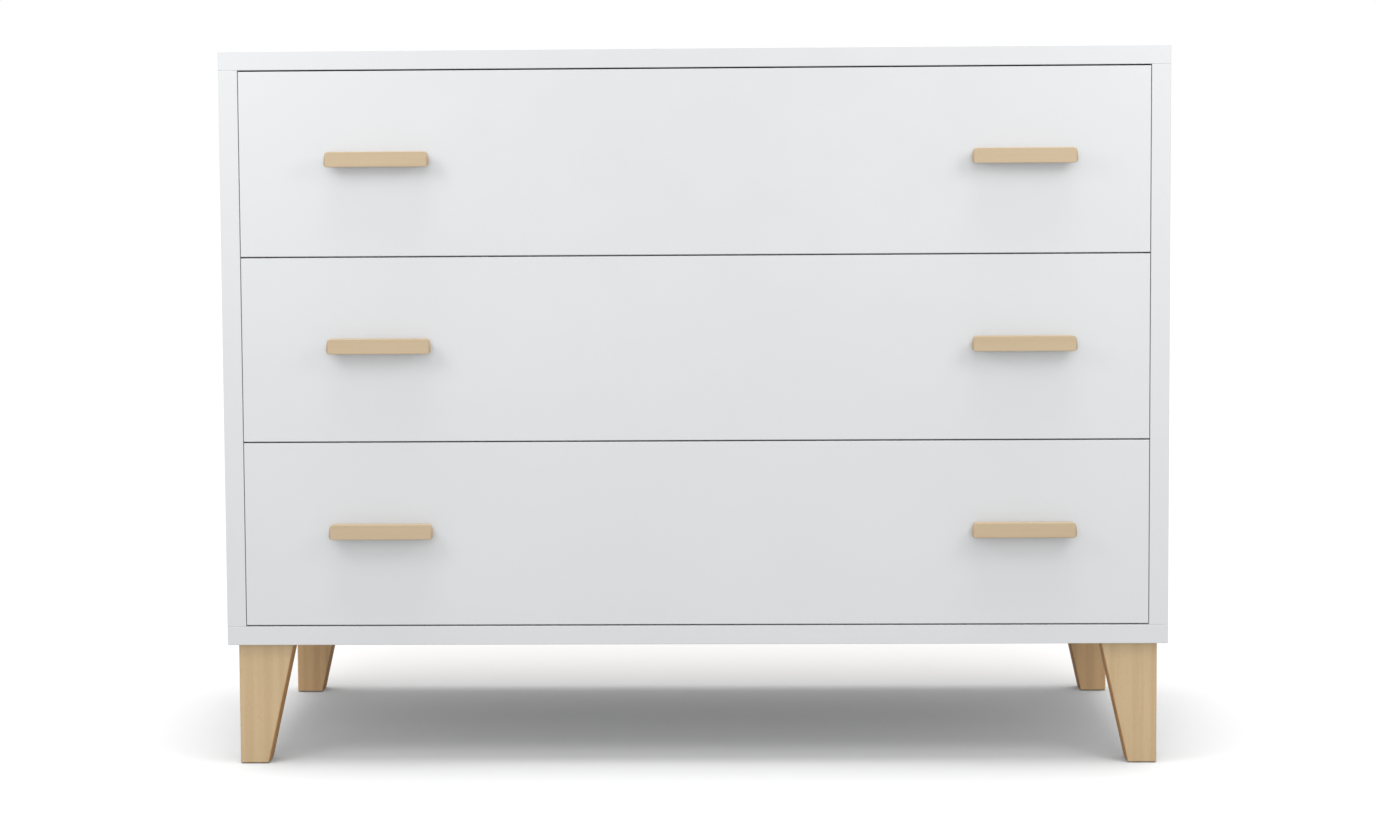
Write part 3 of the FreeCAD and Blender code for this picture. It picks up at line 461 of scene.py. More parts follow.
@dataclass(frozen=True)
class Lacquer(Finish):
    """Sprayed satin lacquer on fibreboard.

    Attributes:
        colour: The coat's colour.
        shade: The colour where the coat is thinnest.
        rubbed: The colour of its rubbed edges.
        dust: The colour of the dust that rests on it.
        edge: How far from its edges the coat is rubbed.
        wear: How strongly the rubbed edges show.
        dusting: How strongly the dust shows.
        dulling: How much rougher the dust makes the coat.
        peel: The depth of the orange peel.
    """

    colour: Colour
    shade: Colour
    rubbed: Colour = (0.93, 0.92, 0.90, 1.0)
    dust: Colour = (0.62, 0.60, 0.57, 1.0)
    edge: float = 0.0012
    wear: float = 0.25
    dusting: float = 0.05
    dulling: float = 0.12
    peel: float = 0.000012

    def draw(self, graph: Graph, shader: bpy.types.Node) -> None:
        """Feeds the shader from the lacquer's skin, its edges and a film of dust.

        Args:
            graph: The material's graph.
            shader: The Principled shader.
        """
        vector = graph.own()
        skin = graph.place(LACQUER_SKIN.tree(), Vector=vector)
        edge = graph.place(EDGE.tree(), Radius=self.edge)
        dust = graph.place(DUST.tree(), Vector=vector)
        coat = graph.blend(graph.spread(skin.outputs["Tone"], 0.3, 0.7), self.shade, self.colour)
        rubbed = graph.blend(graph.times(edge.outputs["Edge"], self.wear), coat, self.rubbed)
        dusted = graph.blend(graph.times(dust.outputs["Dust"], self.dusting), rubbed, self.dust)
        sheen = self.rough(graph, skin.outputs["Sheen"], 0.3, 0.7, less=0.04, more=0.05)
        rough = graph.maths("MULTIPLY_ADD", dust.outputs["Dust"], self.dulling, sheen)
        normal = graph.relief(skin.outputs["Height"], self.peel)
        graph.fill(shader, Base_Color=dusted, Roughness=rough, Normal=normal)


@dataclass(frozen=True)
class Wood:
    """The colours of a wood.

    Attributes:
        light: The early wood.
        dark: The growth bands, and plies that show their end grain.
        pore: The flecks.
    """

    light: Colour
    dark: Colour
    pore: Colour


@dataclass(frozen=True)
class Timber(Finish):
    """Solid wood with a clear matt finish.

    Attributes:
        wood: The wood's colours.
        grain: The axis that the grain runs along.
        band_rate: Growth bands per metre, roughly.
        fibres: How strongly the fibres show.
        flecks: How strongly the flecks show.
        inner_shade: Painted shade: a darker, more orange tint on the sides that face the dresser's
            middle.
        bounced: The neutral colour in the light that the wood throws on the boards round it.
        bounced_share: How much of that light's colour it is.
        edge: How far from its edges the wood is rubbed light.
        wear: How strongly the rubbed edges show.
        relief: The depth of the fibres and the flecks.
    """

    wood: Wood
    grain: Axis
    band_rate: float = 95.0
    fibres: float = 0.22
    flecks: float = 0.22
    # painted shade for the sides that face the middle; white leaves them unshaded
    inner_shade: Colour = (1.0, 1.0, 1.0, 1.0)
    bounced: Colour = (0.42, 0.42, 0.42, 1.0)
    bounced_share: float = 0.8
    edge: float = 0.0015
    wear: float = 0.3
    relief: float = 0.000016

    def draw(self, graph: Graph, shader: bpy.types.Node) -> None:
        """Feeds the shader from the grain, the edges and the painted shade on the inner sides.

        Args:
            graph: The material's graph.
            shader: The Principled shader.
        """
        vector = graph.own_along(self.grain)
        grain = graph.place(GRAIN.tree(), Vector=vector, Band_Rate=self.band_rate)
        edge = graph.place(EDGE.tree(), Radius=self.edge)
        wood = self.wood
        banded = graph.blend(graph.spread(grain.outputs["Figure"], 0.3, 0.72), wood.light, wood.dark)
        fibre = graph.spread(grain.outputs["Fibre"], 0.3, 0.75, 0.0, self.fibres)
        streaked = graph.blend(fibre, banded, wood.dark)
        fleck = graph.times(grain.outputs["Fleck"], self.flecks)
        flecked = graph.blend(fleck, streaked, wood.pore)
        sanded = graph.blend(graph.times(edge.outputs["Edge"], self.wear), flecked, wood.light)
        # painted shade: the sides that face the dresser's middle are tinted darker and more orange
        shaded_inside = graph.blend(self.inwards(graph), sanded, self.inner_shade, "MULTIPLY")
        thrown = graph.add("ShaderNodeLightPath").outputs["Is Diffuse Ray"]
        colour = graph.blend(graph.times(thrown, self.bounced_share), shaded_inside, self.bounced)
        rough = self.rough(graph, grain.outputs["Fibre"], 0.25, 0.75, less=0.06, more=0.08)
        normal = graph.relief(grain.outputs["Height"], self.relief)
        graph.fill(shader, Base_Color=colour, Roughness=rough, Normal=normal)

    def inwards(self, graph: Graph) -> Socket:
        """A mask of the sides that face the dresser's middle plane, where the painted shade goes.

        It is the normal's X times the place's X, which is negative there, turned over and
        sharpened.

        Args:
            graph: The material's graph.

        Returns:
            The mask's socket.
        """
        sideways = Axis.X.value
        outwards = graph.times(graph.facing()[sideways], graph.parts(graph.own())[sideways])
        return graph.spread(graph.times(outwards, -1.0), 0.2, 0.45)


@dataclass(frozen=True)
class Plywood(Finish):
    """Clear-lacquered plywood: veneer on its faces, plies on its edges.

    Attributes:
        wood: The wood's colours.
        grain: The axis that the face veneer's grain runs along.
        across: The axis through the board's thickness.
        start: Where the board starts along that axis.
        thickness: The board's thickness.
        plies: The number of plies.
        band_rate: Growth bands per metre, roughly.
        bands: How strongly the bands show on the faces.
        flecks: How strongly the flecks show on the faces.
        speckles: How strongly the speckles show on the plies.
        relief: The depth of the fibres and the flecks.
    """

    wood: Wood
    grain: Axis
    across: Axis
    start: float
    thickness: float
    plies: int = 11
    band_rate: float = 38.0
    bands: float = 0.85
    flecks: float = 0.3
    speckles: float = 0.5
    relief: float = 0.00002

    def draw(self, graph: Graph, shader: bpy.types.Node) -> None:
        """Feeds the shader from the veneer's grain and from the plies.

        A ply's number is the whole part of the depth into the board over the thickness of a
        ply; odd plies show end grain.  The plies show where the surface doesn't face across.

        Args:
            graph: The material's graph.
            shader: The Principled shader.
        """
        own, wood = graph.own(), self.wood
        vector = graph.own_along(self.grain)
        grain = graph.place(GRAIN.tree(), Vector=vector, Band_Rate=self.band_rate)
        figure = graph.spread(grain.outputs["Figure"], 0.1, 0.9, 0.0, self.bands)
        veneer = graph.blend(figure, wood.light, wood.dark)
        veneer = graph.blend(graph.times(grain.outputs["Fleck"], self.flecks), veneer, wood.pore)
        depth = graph.maths("SUBTRACT", graph.parts(own)[self.across.value], self.start)
        number = graph.times(depth, self.plies / self.thickness)
        place_in_pair = graph.maths("FRACT", graph.times(number, 0.5))
        end_grain = graph.spread(place_in_pair, 0.47, 0.53)
        speckle = graph.spread(graph.noise(own, 1900.0, detail=2.0), 0.45, 0.8, 0.0, self.speckles)
        ply = graph.blend(speckle, graph.blend(end_grain, wood.light, wood.dark), wood.pore)
        on_face = graph.spread(graph.maths("ABSOLUTE", graph.facing()[self.across.value]), 0.5, 0.8)
        colour = graph.blend(on_face, ply, veneer)
        rough = self.rough(graph, grain.outputs["Fibre"], 0.25, 0.75, less=0.05, more=0.08)
        normal = graph.relief(grain.outputs["Height"], self.relief)
        graph.fill(shader, Base_Color=colour, Roughness=rough, Normal=normal)


@dataclass(frozen=True)
class Hardboard(Finish):
    """Thin hardboard: a printed white face, and a bare brown back with the press screen's mark.

    Attributes:
        colour: The face's colour.
        shade: The colour of the face's press marks.
        across: The axis through the board.
        back: 1 where the bare side faces up that axis, -1 where it faces down.
        fibre: The colour of the bare fibre.
        clump: The colour of its darker clumps.
        dust: The colour of the dust that rests on it.
        dusting: How strongly the dust shows.
        bareness: How much rougher the bare side is.
        screen: How many of the screen's wires there are in a metre.
        mark: The height of the screen's mark, in heights of the clumps.
        relief: The height of the clumps.
    """

    colour: Colour
    shade: Colour
    across: Axis
    back: float
    fibre: Colour = (0.50, 0.37, 0.24, 1.0)
    clump: Colour = (0.37, 0.26, 0.155, 1.0)
    dust: Colour = (0.55, 0.53, 0.50, 1.0)
    dusting: float = 0.10
    bareness: float = 0.25
    screen: float = 620.0
    mark: float = 0.8
    relief: float = 0.00004

    def draw(self, graph: Graph, shader: bpy.types.Node) -> None:
        """Feeds the shader from fibre clumps, the screen's mark and dust.

        The screen's mark is the product of two waves that run along the board's two sides.

        Args:
            graph: The material's graph.
            shader: The Principled shader.
        """
        vector = graph.own()
        clumps = graph.noise(vector, 420.0, detail=4.0, roughness=0.6)
        patches = graph.noise(vector, 34.0, detail=5.0, roughness=0.65)
        dust = graph.place(DUST.tree(), Vector=vector)
        face = graph.blend(graph.spread(clumps, 0.35, 0.7), self.colour, self.shade)
        fibre = graph.blend(graph.spread(patches, 0.3, 0.7, 0.0, 0.4), self.fibre, self.clump)
        fibre = graph.blend(graph.spread(clumps, 0.4, 0.75, 0.0, 0.8), fibre, self.clump)
        backwards = graph.times(graph.facing()[self.across.value], self.back)
        bare = graph.spread(backwards, 0.3, 0.7)
        board = graph.blend(bare, face, fibre)
        dusted = graph.blend(graph.times(dust.outputs["Dust"], self.dusting), board, self.dust)
        rough = self.rough(graph, clumps, 0.3, 0.7, less=0.05, more=0.06)
        rougher = graph.maths("MULTIPLY_ADD", bare, self.bareness, rough)
        parts = graph.parts(vector)
        turns = 2.0 * math.pi * self.screen
        first, second = [graph.maths("SINE", graph.times(parts[axis.value], turns))
                         for axis in Axis if axis is not self.across]
        waves = graph.times(graph.times(first, second), bare)
        normal = graph.relief(graph.maths("MULTIPLY_ADD", waves, self.mark, clumps), self.relief)
        graph.fill(shader, Base_Color=dusted, Roughness=rougher, Normal=normal)


@dataclass(frozen=True)
class BrightMetal(Finish):
    """Bare bright metal: zinc-plated steel, or turned brass.

    Attributes:
        light: The metal's colour.
        dark: The colour of its cloudy patches.
        rolled: The axis of the rolling or turning marks.
        relief: The depth of those marks.
    """

    light: Colour
    dark: Colour
    rolled: Axis = Axis.Y
    relief: float = 0.000008

    def draw(self, graph: Graph, shader: bpy.types.Node) -> None:
        """Feeds the shader from the metal's streaks and bloom.

        Args:
            graph: The material's graph.
            shader: The Principled shader.
        """
        vector = graph.own_along(self.rolled)
        skin = graph.place(STEEL_SKIN.tree(), Vector=vector)
        bloom = graph.spread(skin.outputs["Bloom"], 0.3, 0.75)
        colour = graph.blend(bloom, self.light, self.dark)
        rough = self.rough(graph, skin.outputs["Streak"], 0.3, 0.7, less=0.07, more=0.1)
        normal = graph.relief(skin.outputs["Streak"], self.relief)
        graph.fill(shader, Metallic=1.0, Base_Color=colour, Roughness=rough, Normal=normal)


@dataclass(frozen=True)
class Moulding(Finish):
    """Moulded plastic with a fine spark-eroded texture.

    Attributes:
        colour: The plastic's colour.
        shade: The colour of scuffs.
        scuffing: How strongly the scuffs show.
        relief: The depth of the texture.
    """

    colour: Colour
    shade: Colour
    scuffing: float = 0.6
    relief: float = 0.00002

    def draw(self, graph: Graph, shader: bpy.types.Node) -> None:
        """Feeds the shader from the texture and soft scuffs.

        Args:
            graph: The material's graph.
            shader: The Principled shader.
        """
        vector = graph.own()
        texture = graph.noise(vector, 2600.0, detail=2.0)
        scuffs = graph.noise(vector, 140.0, detail=4.0, roughness=0.7)
        scuffed = graph.spread(scuffs, 0.45, 0.75, 0.0, self.scuffing)
        colour = graph.blend(scuffed, self.colour, self.shade)
        rough = self.rough(graph, texture, 0.3, 0.7, less=0.05, more=0.08)
        normal = graph.relief(texture, self.relief)
        graph.fill(shader, Base_Color=colour, Roughness=rough, Normal=normal)


WHITE = Lacquer("white_satin_lacquer", 0.42, (0.852, 0.862, 0.872, 1.0), (0.836, 0.847, 0.858, 1.0))
BEECH_PORE = (0.36, 0.22, 0.11, 1.0)
BEECH = Wood((0.765, 0.565, 0.333, 1.0), (0.70, 0.50, 0.277, 1.0), BEECH_PORE)
# painted shade: a redder, more saturated beech that stands in for the rear legs' shaded look
SHADE_TINTED_BEECH = Wood((0.89, 0.58, 0.30, 1.0), (0.78, 0.495, 0.245, 1.0), BEECH_PORE)
PALE_BEECH = Wood((0.673, 0.522, 0.341, 1.0), (0.629, 0.478, 0.302, 1.0), BEECH_PORE)
BIRCH = Wood((0.74, 0.60, 0.42, 1.0), (0.62, 0.47, 0.30, 1.0), (0.36, 0.24, 0.14, 1.0))
# both legs' finishes carry painted shade on their inner sides
FRONT_BEECH = Timber("beech_front_leg", 0.5, BEECH, Axis.Z, inner_shade=(1.0, 0.72, 0.45, 1.0))
SHADED_REAR_BEECH = Timber("beech_rear_leg_painted_shade", 0.5, SHADE_TINTED_BEECH, Axis.Z, inner_shade=(0.62, 0.42, 0.19, 1.0))
HANDLE_BEECH = Timber("beech_handle", 0.48, PALE_BEECH, Axis.X, band_rate=120.0, flecks=0.15)
DOWEL_BEECH = Timber("beech_dowel", 0.6, BEECH, Axis.X)
BACK_BOARD = Hardboard("white_faced_back", 0.55, (0.80, 0.80, 0.79, 1.0), (0.76, 0.76, 0.75, 1.0),
                       Axis.Y, 1.0)
DRAWER_BOTTOM = Hardboard("white_faced_bottom", 0.5, (0.82, 0.82, 0.81, 1.0), (0.78, 0.78, 0.77, 1.0),
                          Axis.Z, -1.0)
ZINC = BrightMetal("zinc_plate", 0.30, (0.70, 0.71, 0.73, 1.0), (0.56, 0.57, 0.60, 1.0))
RUNNER_STEEL = BrightMetal("rolled_runner_steel", 0.27, (0.66, 0.67, 0.69, 1.0),
                           (0.56, 0.57, 0.60, 1.0))
BRASS = BrightMetal("turned_brass", 0.26, (0.80, 0.62, 0.33, 1.0), (0.66, 0.48, 0.23, 1.0), Axis.Z)
NYLON = Moulding("nylon_glide", 0.55, (0.66, 0.56, 0.43, 1.0), (0.52, 0.43, 0.32, 1.0))


# ---- The dresser

def dress(finish: Finish, *nodes: str) -> None:
    """Gives CAD nodes a finish.

    Args:
        finish: The finish.
        *nodes: The nodes' names.
    """
    for node in nodes:
        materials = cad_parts[node].data.materials
        materials.clear()
        materials.append(finish.material())
        LOG.info("%s: %s", node, finish.name)


def put(name: str, data: bpy.types.ID) -> bpy.types.Object:
    """Puts a new object in the scene.

    Args:
        name: The object's name.
        data: Its mesh, light or camera.

    Returns:
        The object.
    """
    made = bpy.data.objects.new(name, data)
    bpy.context.scene.collection.objects.link(made)
    return made


@dataclass
class Carcass:
    """The white case with its rails, runners and hidden fixings.

    Attributes:
        panels: The lacquered boards.
        steel: The plated fixings.
    """

    panels: Sequence[str] = ("top_panel", "bottom_panel", "left_side_panel", "right_side_panel",
                             "upper_rail", "lower_rail")
    steel: Sequence[str] = ("cam_locks", "cam_bolts", "leg_bolts", "cabinet_screws", "wall_brackets")

    def build(self) -> None:
        """Dresses the case."""
        dress(WHITE, *self.panels)
        dress(ZINC, *self.steel)
        dress(RUNNER_STEEL, "cabinet_runners")
        dress(BACK_BOARD, "back_panel")
        dress(DOWEL_BEECH, "dowels")


def make_skin(name: str, rings: np.ndarray, body: str, finish: Finish,
              replaced: str) -> None:
    """Joins rings of points into one closed surface and fits it to the dresser.

    Each ring's points are joined to the same points of the next ring, and the first and last
    rings are closed by a fan around their middles.  The faces are turned over where the
    signed volume, the sum of the triple products of their corners, is negative.

    Args:
        name: The piece's name.
        rings: The points, as rings by points by three coordinates.
        body: The body that the piece rides on.
        finish: The piece's finish.
        replaced: The CAD node that the piece stands for.
    """
    count, around, _ = rings.shape
    points = np.concatenate([rings.reshape(-1, 3), rings[[0, -1]].mean(axis=1)])
    ring = np.arange(count - 1)[:, None] * around
    here = np.arange(around)[None, :]
    after = (here + 1) % around
    quads = np.stack([ring + here, ring + after, ring + around + after, ring + around + here], axis=-1)
    quads = quads.reshape(-1, 4)
    last = (count - 1) * around
    first_pole = np.full(around, count * around)
    start_fan = np.stack([first_pole, after[0], here[0]], axis=-1)
    end_fan = np.stack([first_pole + 1, last + here[0], last + after[0]], axis=-1)
    triangles = np.concatenate([quads[:, [0, 1, 2]], quads[:, [0, 2, 3]], start_fan, end_fan])
    corners = points[triangles]
    volume = np.einsum("ij,ij->i", corners[:, 0], np.cross(corners[:, 1], corners[:, 2])).sum()
    faces = quads.tolist() + start_fan.tolist() + end_fan.tolist()
    if volume < 0.0:
        faces = [face[::-1] for face in faces]
    mesh = bpy.data.meshes.new(name)
    mesh.from_pydata(points.tolist(), [], faces)
    mesh.polygons.foreach_set("use_smooth", np.ones(len(mesh.polygons), dtype=bool))
    mesh.materials.append(finish.material())
    piece = put(name, mesh)
    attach(piece, body)
    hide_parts(replaced)
    LOG.info("%s: %d faces, %s", name, len(faces), finish.name)


def eased_outline(corners: np.ndarray, rounds: np.ndarray, steps: int, hold: float) -> np.ndarray:
    """A closed outline whose corners are rounded.

    At a corner, u and v are the unit vectors towards its neighbours and t is the angle between
    them.  The arc's centre is the corner plus (u + v) scaled to r / sin(t / 2), and the arc
    starts and ends r / tan(t / 2) from the corner along u and v.  Its points are the circular
    blend of the vectors from the centre to its two ends.  One point more on each straight side,
    a little way from the arc, keeps the side flat.

    Args:
        corners: The corners, as outlines by corners by two coordinates.
        rounds: The corners' radii, as outlines by corners.
        steps: The number of steps in an arc.
        hold: How far the points that keep a side flat are from the arcs.

    Returns:
        The points, as outlines by points by two coordinates.
    """
    before = np.roll(corners, 1, axis=1) - corners
    beyond = np.roll(corners, -1, axis=1) - corners
    before /= np.linalg.norm(before, axis=-1, keepdims=True)
    beyond /= np.linalg.norm(beyond, axis=-1, keepdims=True)
    half = np.arccos(np.clip((before * beyond).sum(axis=-1), -1.0, 1.0)) / 2.0
    reach = (rounds / np.tan(half))[..., None]
    middle = before + beyond
    middle /= np.linalg.norm(middle, axis=-1, keepdims=True)
    centre = corners + middle * (rounds / np.sin(half))[..., None]
    start = corners + before * reach
    end = corners + beyond * reach
    sweep = (math.pi - 2.0 * half)[..., None, None]
    part = np.linspace(0.0, 1.0, steps + 1)[None, None, :, None]
    from_start = np.sin((1.0 - part) * sweep) * (start - centre)[:, :, None, :]
    from_end = np.sin(part * sweep) * (end - centre)[:, :, None, :]
    arc = centre[:, :, None, :] + (from_start + from_end) / np.sin(sweep)
    first = (start + before * hold)[:, :, None, :]
    final = (end + beyond * hold)[:, :, None, :]
    points = np.concatenate([first, arc, final], axis=2)
    return points.reshape(len(corners), -1, 2)


@dataclass
class Leg:
    """A beech leg: its outer side upright, its inner side slanted, all its edges eased.

    Attributes:
        name: The CAD name.
        finish: The leg's finish.
        foot_width: The width at the foot.
        edge_round: The radius of the upright edges.
        end_round: The radius of the edges of the foot and the top.
        steps: The number of steps in a rounded edge.
        rows: The number of rows between the two ends.
        hold: How far from the edges the points are that keep the sides flat.
    """

    name: str
    finish: Timber
    foot_width: float = 0.035
    edge_round: float = 0.002
    end_round: float = 0.0007
    steps: int = 5
    rows: int = 12
    hold: float = 0.0004

    def heights(self, foot: float, top: float) -> tuple[np.ndarray, np.ndarray]:
        """The rows' heights and how far each row is drawn in by the eased ends.

        At angle a of the quarter turn, a row is drawn in by r (1 - sin a) and lies
        r (1 - cos a) from the end.

        Args:
            foot: The height of the foot.
            top: The height of the top.

        Returns:
            The heights and the insets.
        """
        turn = np.linspace(0.0, math.pi / 2.0, self.steps + 1)
        inset = self.end_round * (1.0 - np.sin(turn))
        rise = self.end_round * (1.0 - np.cos(turn))
        ends = self.end_round + self.hold
        shaft = np.linspace(foot + ends, top - ends, self.rows)
        heights = np.concatenate([foot + rise, shaft, top - rise[::-1]])
        insets = np.concatenate([inset, np.zeros(len(shaft)), inset[::-1]])
        return heights, insets

    def rings(self) -> np.ndarray:
        """The leg's surface.

        The width grows in a straight line from the foot to the top, always inwards.  The upright
        edges' radius shrinks by nine tenths of what a row is drawn in, so it never reaches 0.

        Returns:
            The points, as rings by points by three coordinates.
        """
        low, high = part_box(self.name)
        heights, insets = self.heights(low[2], high[2])
        part = (heights - low[2]) / (high[2] - low[2])
        width = self.foot_width + (high[0] - low[0] - self.foot_width) * part
        on_left = "left" in self.name
        near = np.full_like(width, low[0]) if on_left else high[0] - width
        far = near + width
        near, far = near + insets, far - insets
        front, rear = low[1] + insets, high[1] - insets
        corners = np.stack([np.stack([near, front], -1), np.stack([far, front], -1),
                            np.stack([far, rear], -1), np.stack([near, rear], -1)], axis=1)
        rounds = np.repeat((self.edge_round - 0.9 * insets)[:, None], 4, axis=1)
        outline = eased_outline(corners, rounds, self.steps, self.hold)
        upright = np.repeat(heights[:, None, None], outline.shape[1], axis=1)
        return np.concatenate([outline, upright], axis=-1)

    def build(self) -> None:
        """Makes the leg."""
        make_skin(f"beech_{self.name}", self.rings(), "cabinet", self.finish, self.name)


@dataclass
class Handle:
    """A beech bar handle with bowed ends and a finger groove above and below its neck.

    Attributes:
        name: The CAD name.
        body: The body that it rides on.
        lip: The thickness of the bar in front of the grooves.
        neck: The height of the neck behind it.
        bow: How far the bar's ends bow out.
        belly: Where the bar is longest, as a share of half its height above its middle.
        setback: How far the neck's ends stand back behind the bar's.
        corner_round: The radius of the bar's corners, seen from the front.
        edge_round: The radius of the edges.
        root_round: The radius in the grooves.
        steps: The number of steps in an arc.
        hold: How far from the arcs the points are that keep the sides flat.
    """

    name: str
    body: str
    lip: float = 0.011
    neck: float = 0.008
    bow: float = 0.0023
    belly: float = -0.2
    setback: float = 0.003
    corner_round: float = 0.0028
    edge_round: float = 0.0010
    root_round: float = 0.0040
    steps: int = 6
    hold: float = 0.0003

    def end(self, height: np.ndarray, half_length: float, half_height: float) -> np.ndarray:
        """How far the bar reaches from its middle at a height.

        It is half the length, less the bow times the square of the height above the belly in
        half heights, less the corner: r - sqrt(r^2 - c^2), with c the height past the arc's
        start.

        Args:
            height: The height from the bar's middle.
            half_length: Half the bar's length.
            half_height: Half the bar's height.

        Returns:
            The reach.
        """
        past = np.clip(np.abs(height) - (half_height - self.corner_round), 0.0, self.corner_round)
        corner = self.corner_round - np.sqrt(self.corner_round ** 2 - past ** 2)
        return half_length - self.bow * (height / half_height - self.belly) ** 2 - corner

    def section(self, inset: np.ndarray, depth: float, half_height: float) -> np.ndarray:
        """The T-shaped section, drawn in by an inset: depth and height of each point.

        As the section is drawn in, the radii of its outer corners shrink and those in the
        grooves grow.

        Args:
            inset: How far each section is drawn in.
            depth: The bar's whole depth.
            half_height: Half the bar's height.

        Returns:
            The points, as sections by points by two coordinates.
        """
        root = depth - self.lip
        half_neck = self.neck / 2.0
        corners = np.array([(-depth, -half_height), (-depth, half_height), (-root, half_height),
                            (-root, half_neck), (0.0, half_neck), (0.0, -half_neck),
                            (-root, -half_neck), (-root, -half_height)])
        inwards = np.array([(1, 1), (1, -1), (-1, -1), (-1, -1), (0, -1), (0, 1), (-1, 1), (-1, 1)])
        edge, root_round = self.edge_round, self.root_round
        rounds = np.array([edge, edge, 0.6 * edge, root_round, 0.3 * edge, 0.3 * edge, root_round,
                           0.6 * edge])
        growth = np.array([-0.9, -0.9, -0.5, 1.0, -0.2, -0.2, 1.0, -0.5])
        drawn = corners[None] + inset[:, None, None] * inwards[None]
        return eased_outline(drawn, rounds[None] + inset[:, None] * growth[None], self.steps, self.hold)

    def rings(self) -> np.ndarray:
        """The handle's surface.

        The section is carried from the middle to each end, which follows the bow, and stands
        back behind the lip over the groove's radius.  It is drawn in round the end's edge, by
        r (1 - cos a) at r (1 - sin a) from the end, and shrinks to a point in the bar's middle
        to close it.

        Returns:
            The points, as rings by points by three coordinates.
        """
        low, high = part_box(self.name)
        middle = (low[0] + high[0]) / 2.0
        level = (low[2] + high[2]) / 2.0
        half_length, half_height = (high[0] - low[0]) / 2.0, (high[2] - low[2]) / 2.0
        depth = high[1] - low[1]
        turn = np.linspace(0.0, math.pi / 2.0, self.steps + 1)
        share = np.array([0.0, 0.35, 0.7, 0.97])  # of the way from the middle to the end
        shrink = np.array([0.97, 0.75, 0.5, 0.25])  # the last sections' sizes
        inset = np.concatenate([np.zeros(len(share)), self.edge_round * (1.0 - np.cos(turn)),
                                np.full(len(shrink), self.edge_round)])
        back = np.concatenate([np.full(len(share), self.edge_round),
                               self.edge_round * (1.0 - np.sin(turn)), np.zeros(len(shrink))])
        scale = np.concatenate([np.ones(len(share) + len(turn)), shrink])
        along_bar = np.concatenate([share, np.ones(len(turn) + len(shrink))])
        section = self.section(inset, depth, half_height)
        hub = np.array([-(depth - self.lip / 2.0), 0.0])
        section = hub + (section - hub) * scale[:, None, None]
        behind = np.clip((section[..., 0] + depth - self.lip) / self.root_round, 0.0, 1.0)
        reach = self.end(section[..., 1], half_length, half_height) - back[:, None]
        reach = reach - self.setback * behind * scale[:, None]
        right = np.stack([reach * along_bar[:, None], section[..., 0], section[..., 1]], axis=-1)
        left = right[::-1] * np.array([-1.0, 1.0, 1.0])
        return np.concatenate([left[:-1], right]) + np.array([middle, high[1], level])

    def build(self) -> None:
        """Makes the handle."""
        make_skin(f"beech_{self.name}", self.rings(), self.body, HANDLE_BEECH, self.name)


@dataclass
class Legs:
    """Four beech legs with their inserts and glides.

    Attributes:
        front: The front legs.
        rear: The rear legs, given a redder, more saturated beech as painted shade.
    """

    front: Sequence[str] = ("front_left_leg", "front_right_leg")
    rear: Sequence[str] = ("rear_left_leg", "rear_right_leg")

    def build(self) -> None:
        """Makes the legs and dresses what is in them."""
        for names, finish in ((self.front, FRONT_BEECH), (self.rear, SHADED_REAR_BEECH)):
            for name in names:
                Leg(name, finish).build()
        dress(BRASS, "leg_inserts")
        dress(NYLON, "leg_glides")


@dataclass
class Drawer:
    """One drawer.

    Attributes:
        level: Which drawer it is: upper, middle or lower.
    """

    level: str

    def node(self, part: str) -> str:
        """The CAD name of one of the drawer's parts."""
        return f"{self.level}_drawer_{part}"

    def plywood(self, part: str, grain: Axis, across: Axis) -> Plywood:
        """The plywood of one board.

        Args:
            part: The board.
            grain: The axis of its face grain.
            across: The axis through its thickness.

        Returns:
            The finish.
        """
        low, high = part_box(self.node(part))
        start = low[across.value]
        thickness = high[across.value] - start
        return Plywood(f"birch_plywood_{part}", 0.45, BIRCH, grain, across, start, thickness)

    def build(self) -> None:
        """Dresses the drawer."""
        dress(WHITE, self.node("front"))
        dress(DRAWER_BOTTOM, self.node("bottom"))
        for side in ("left", "right"):
            dress(self.plywood(f"{side}_side", Axis.Y, Axis.X), self.node(f"{side}_side"))
            Handle(self.node(f"{side}_handle"), f"{self.level}_drawer").build()
        dress(self.plywood("back", Axis.X, Axis.Y), self.node("back"))
        dress(RUNNER_STEEL, self.node("runners"), self.node("carriers"))
        for part in ("cam_fittings", "corner_screws", "panel_screws", "handle_screws"):
            dress(ZINC, self.node(part))


# ---- The studio

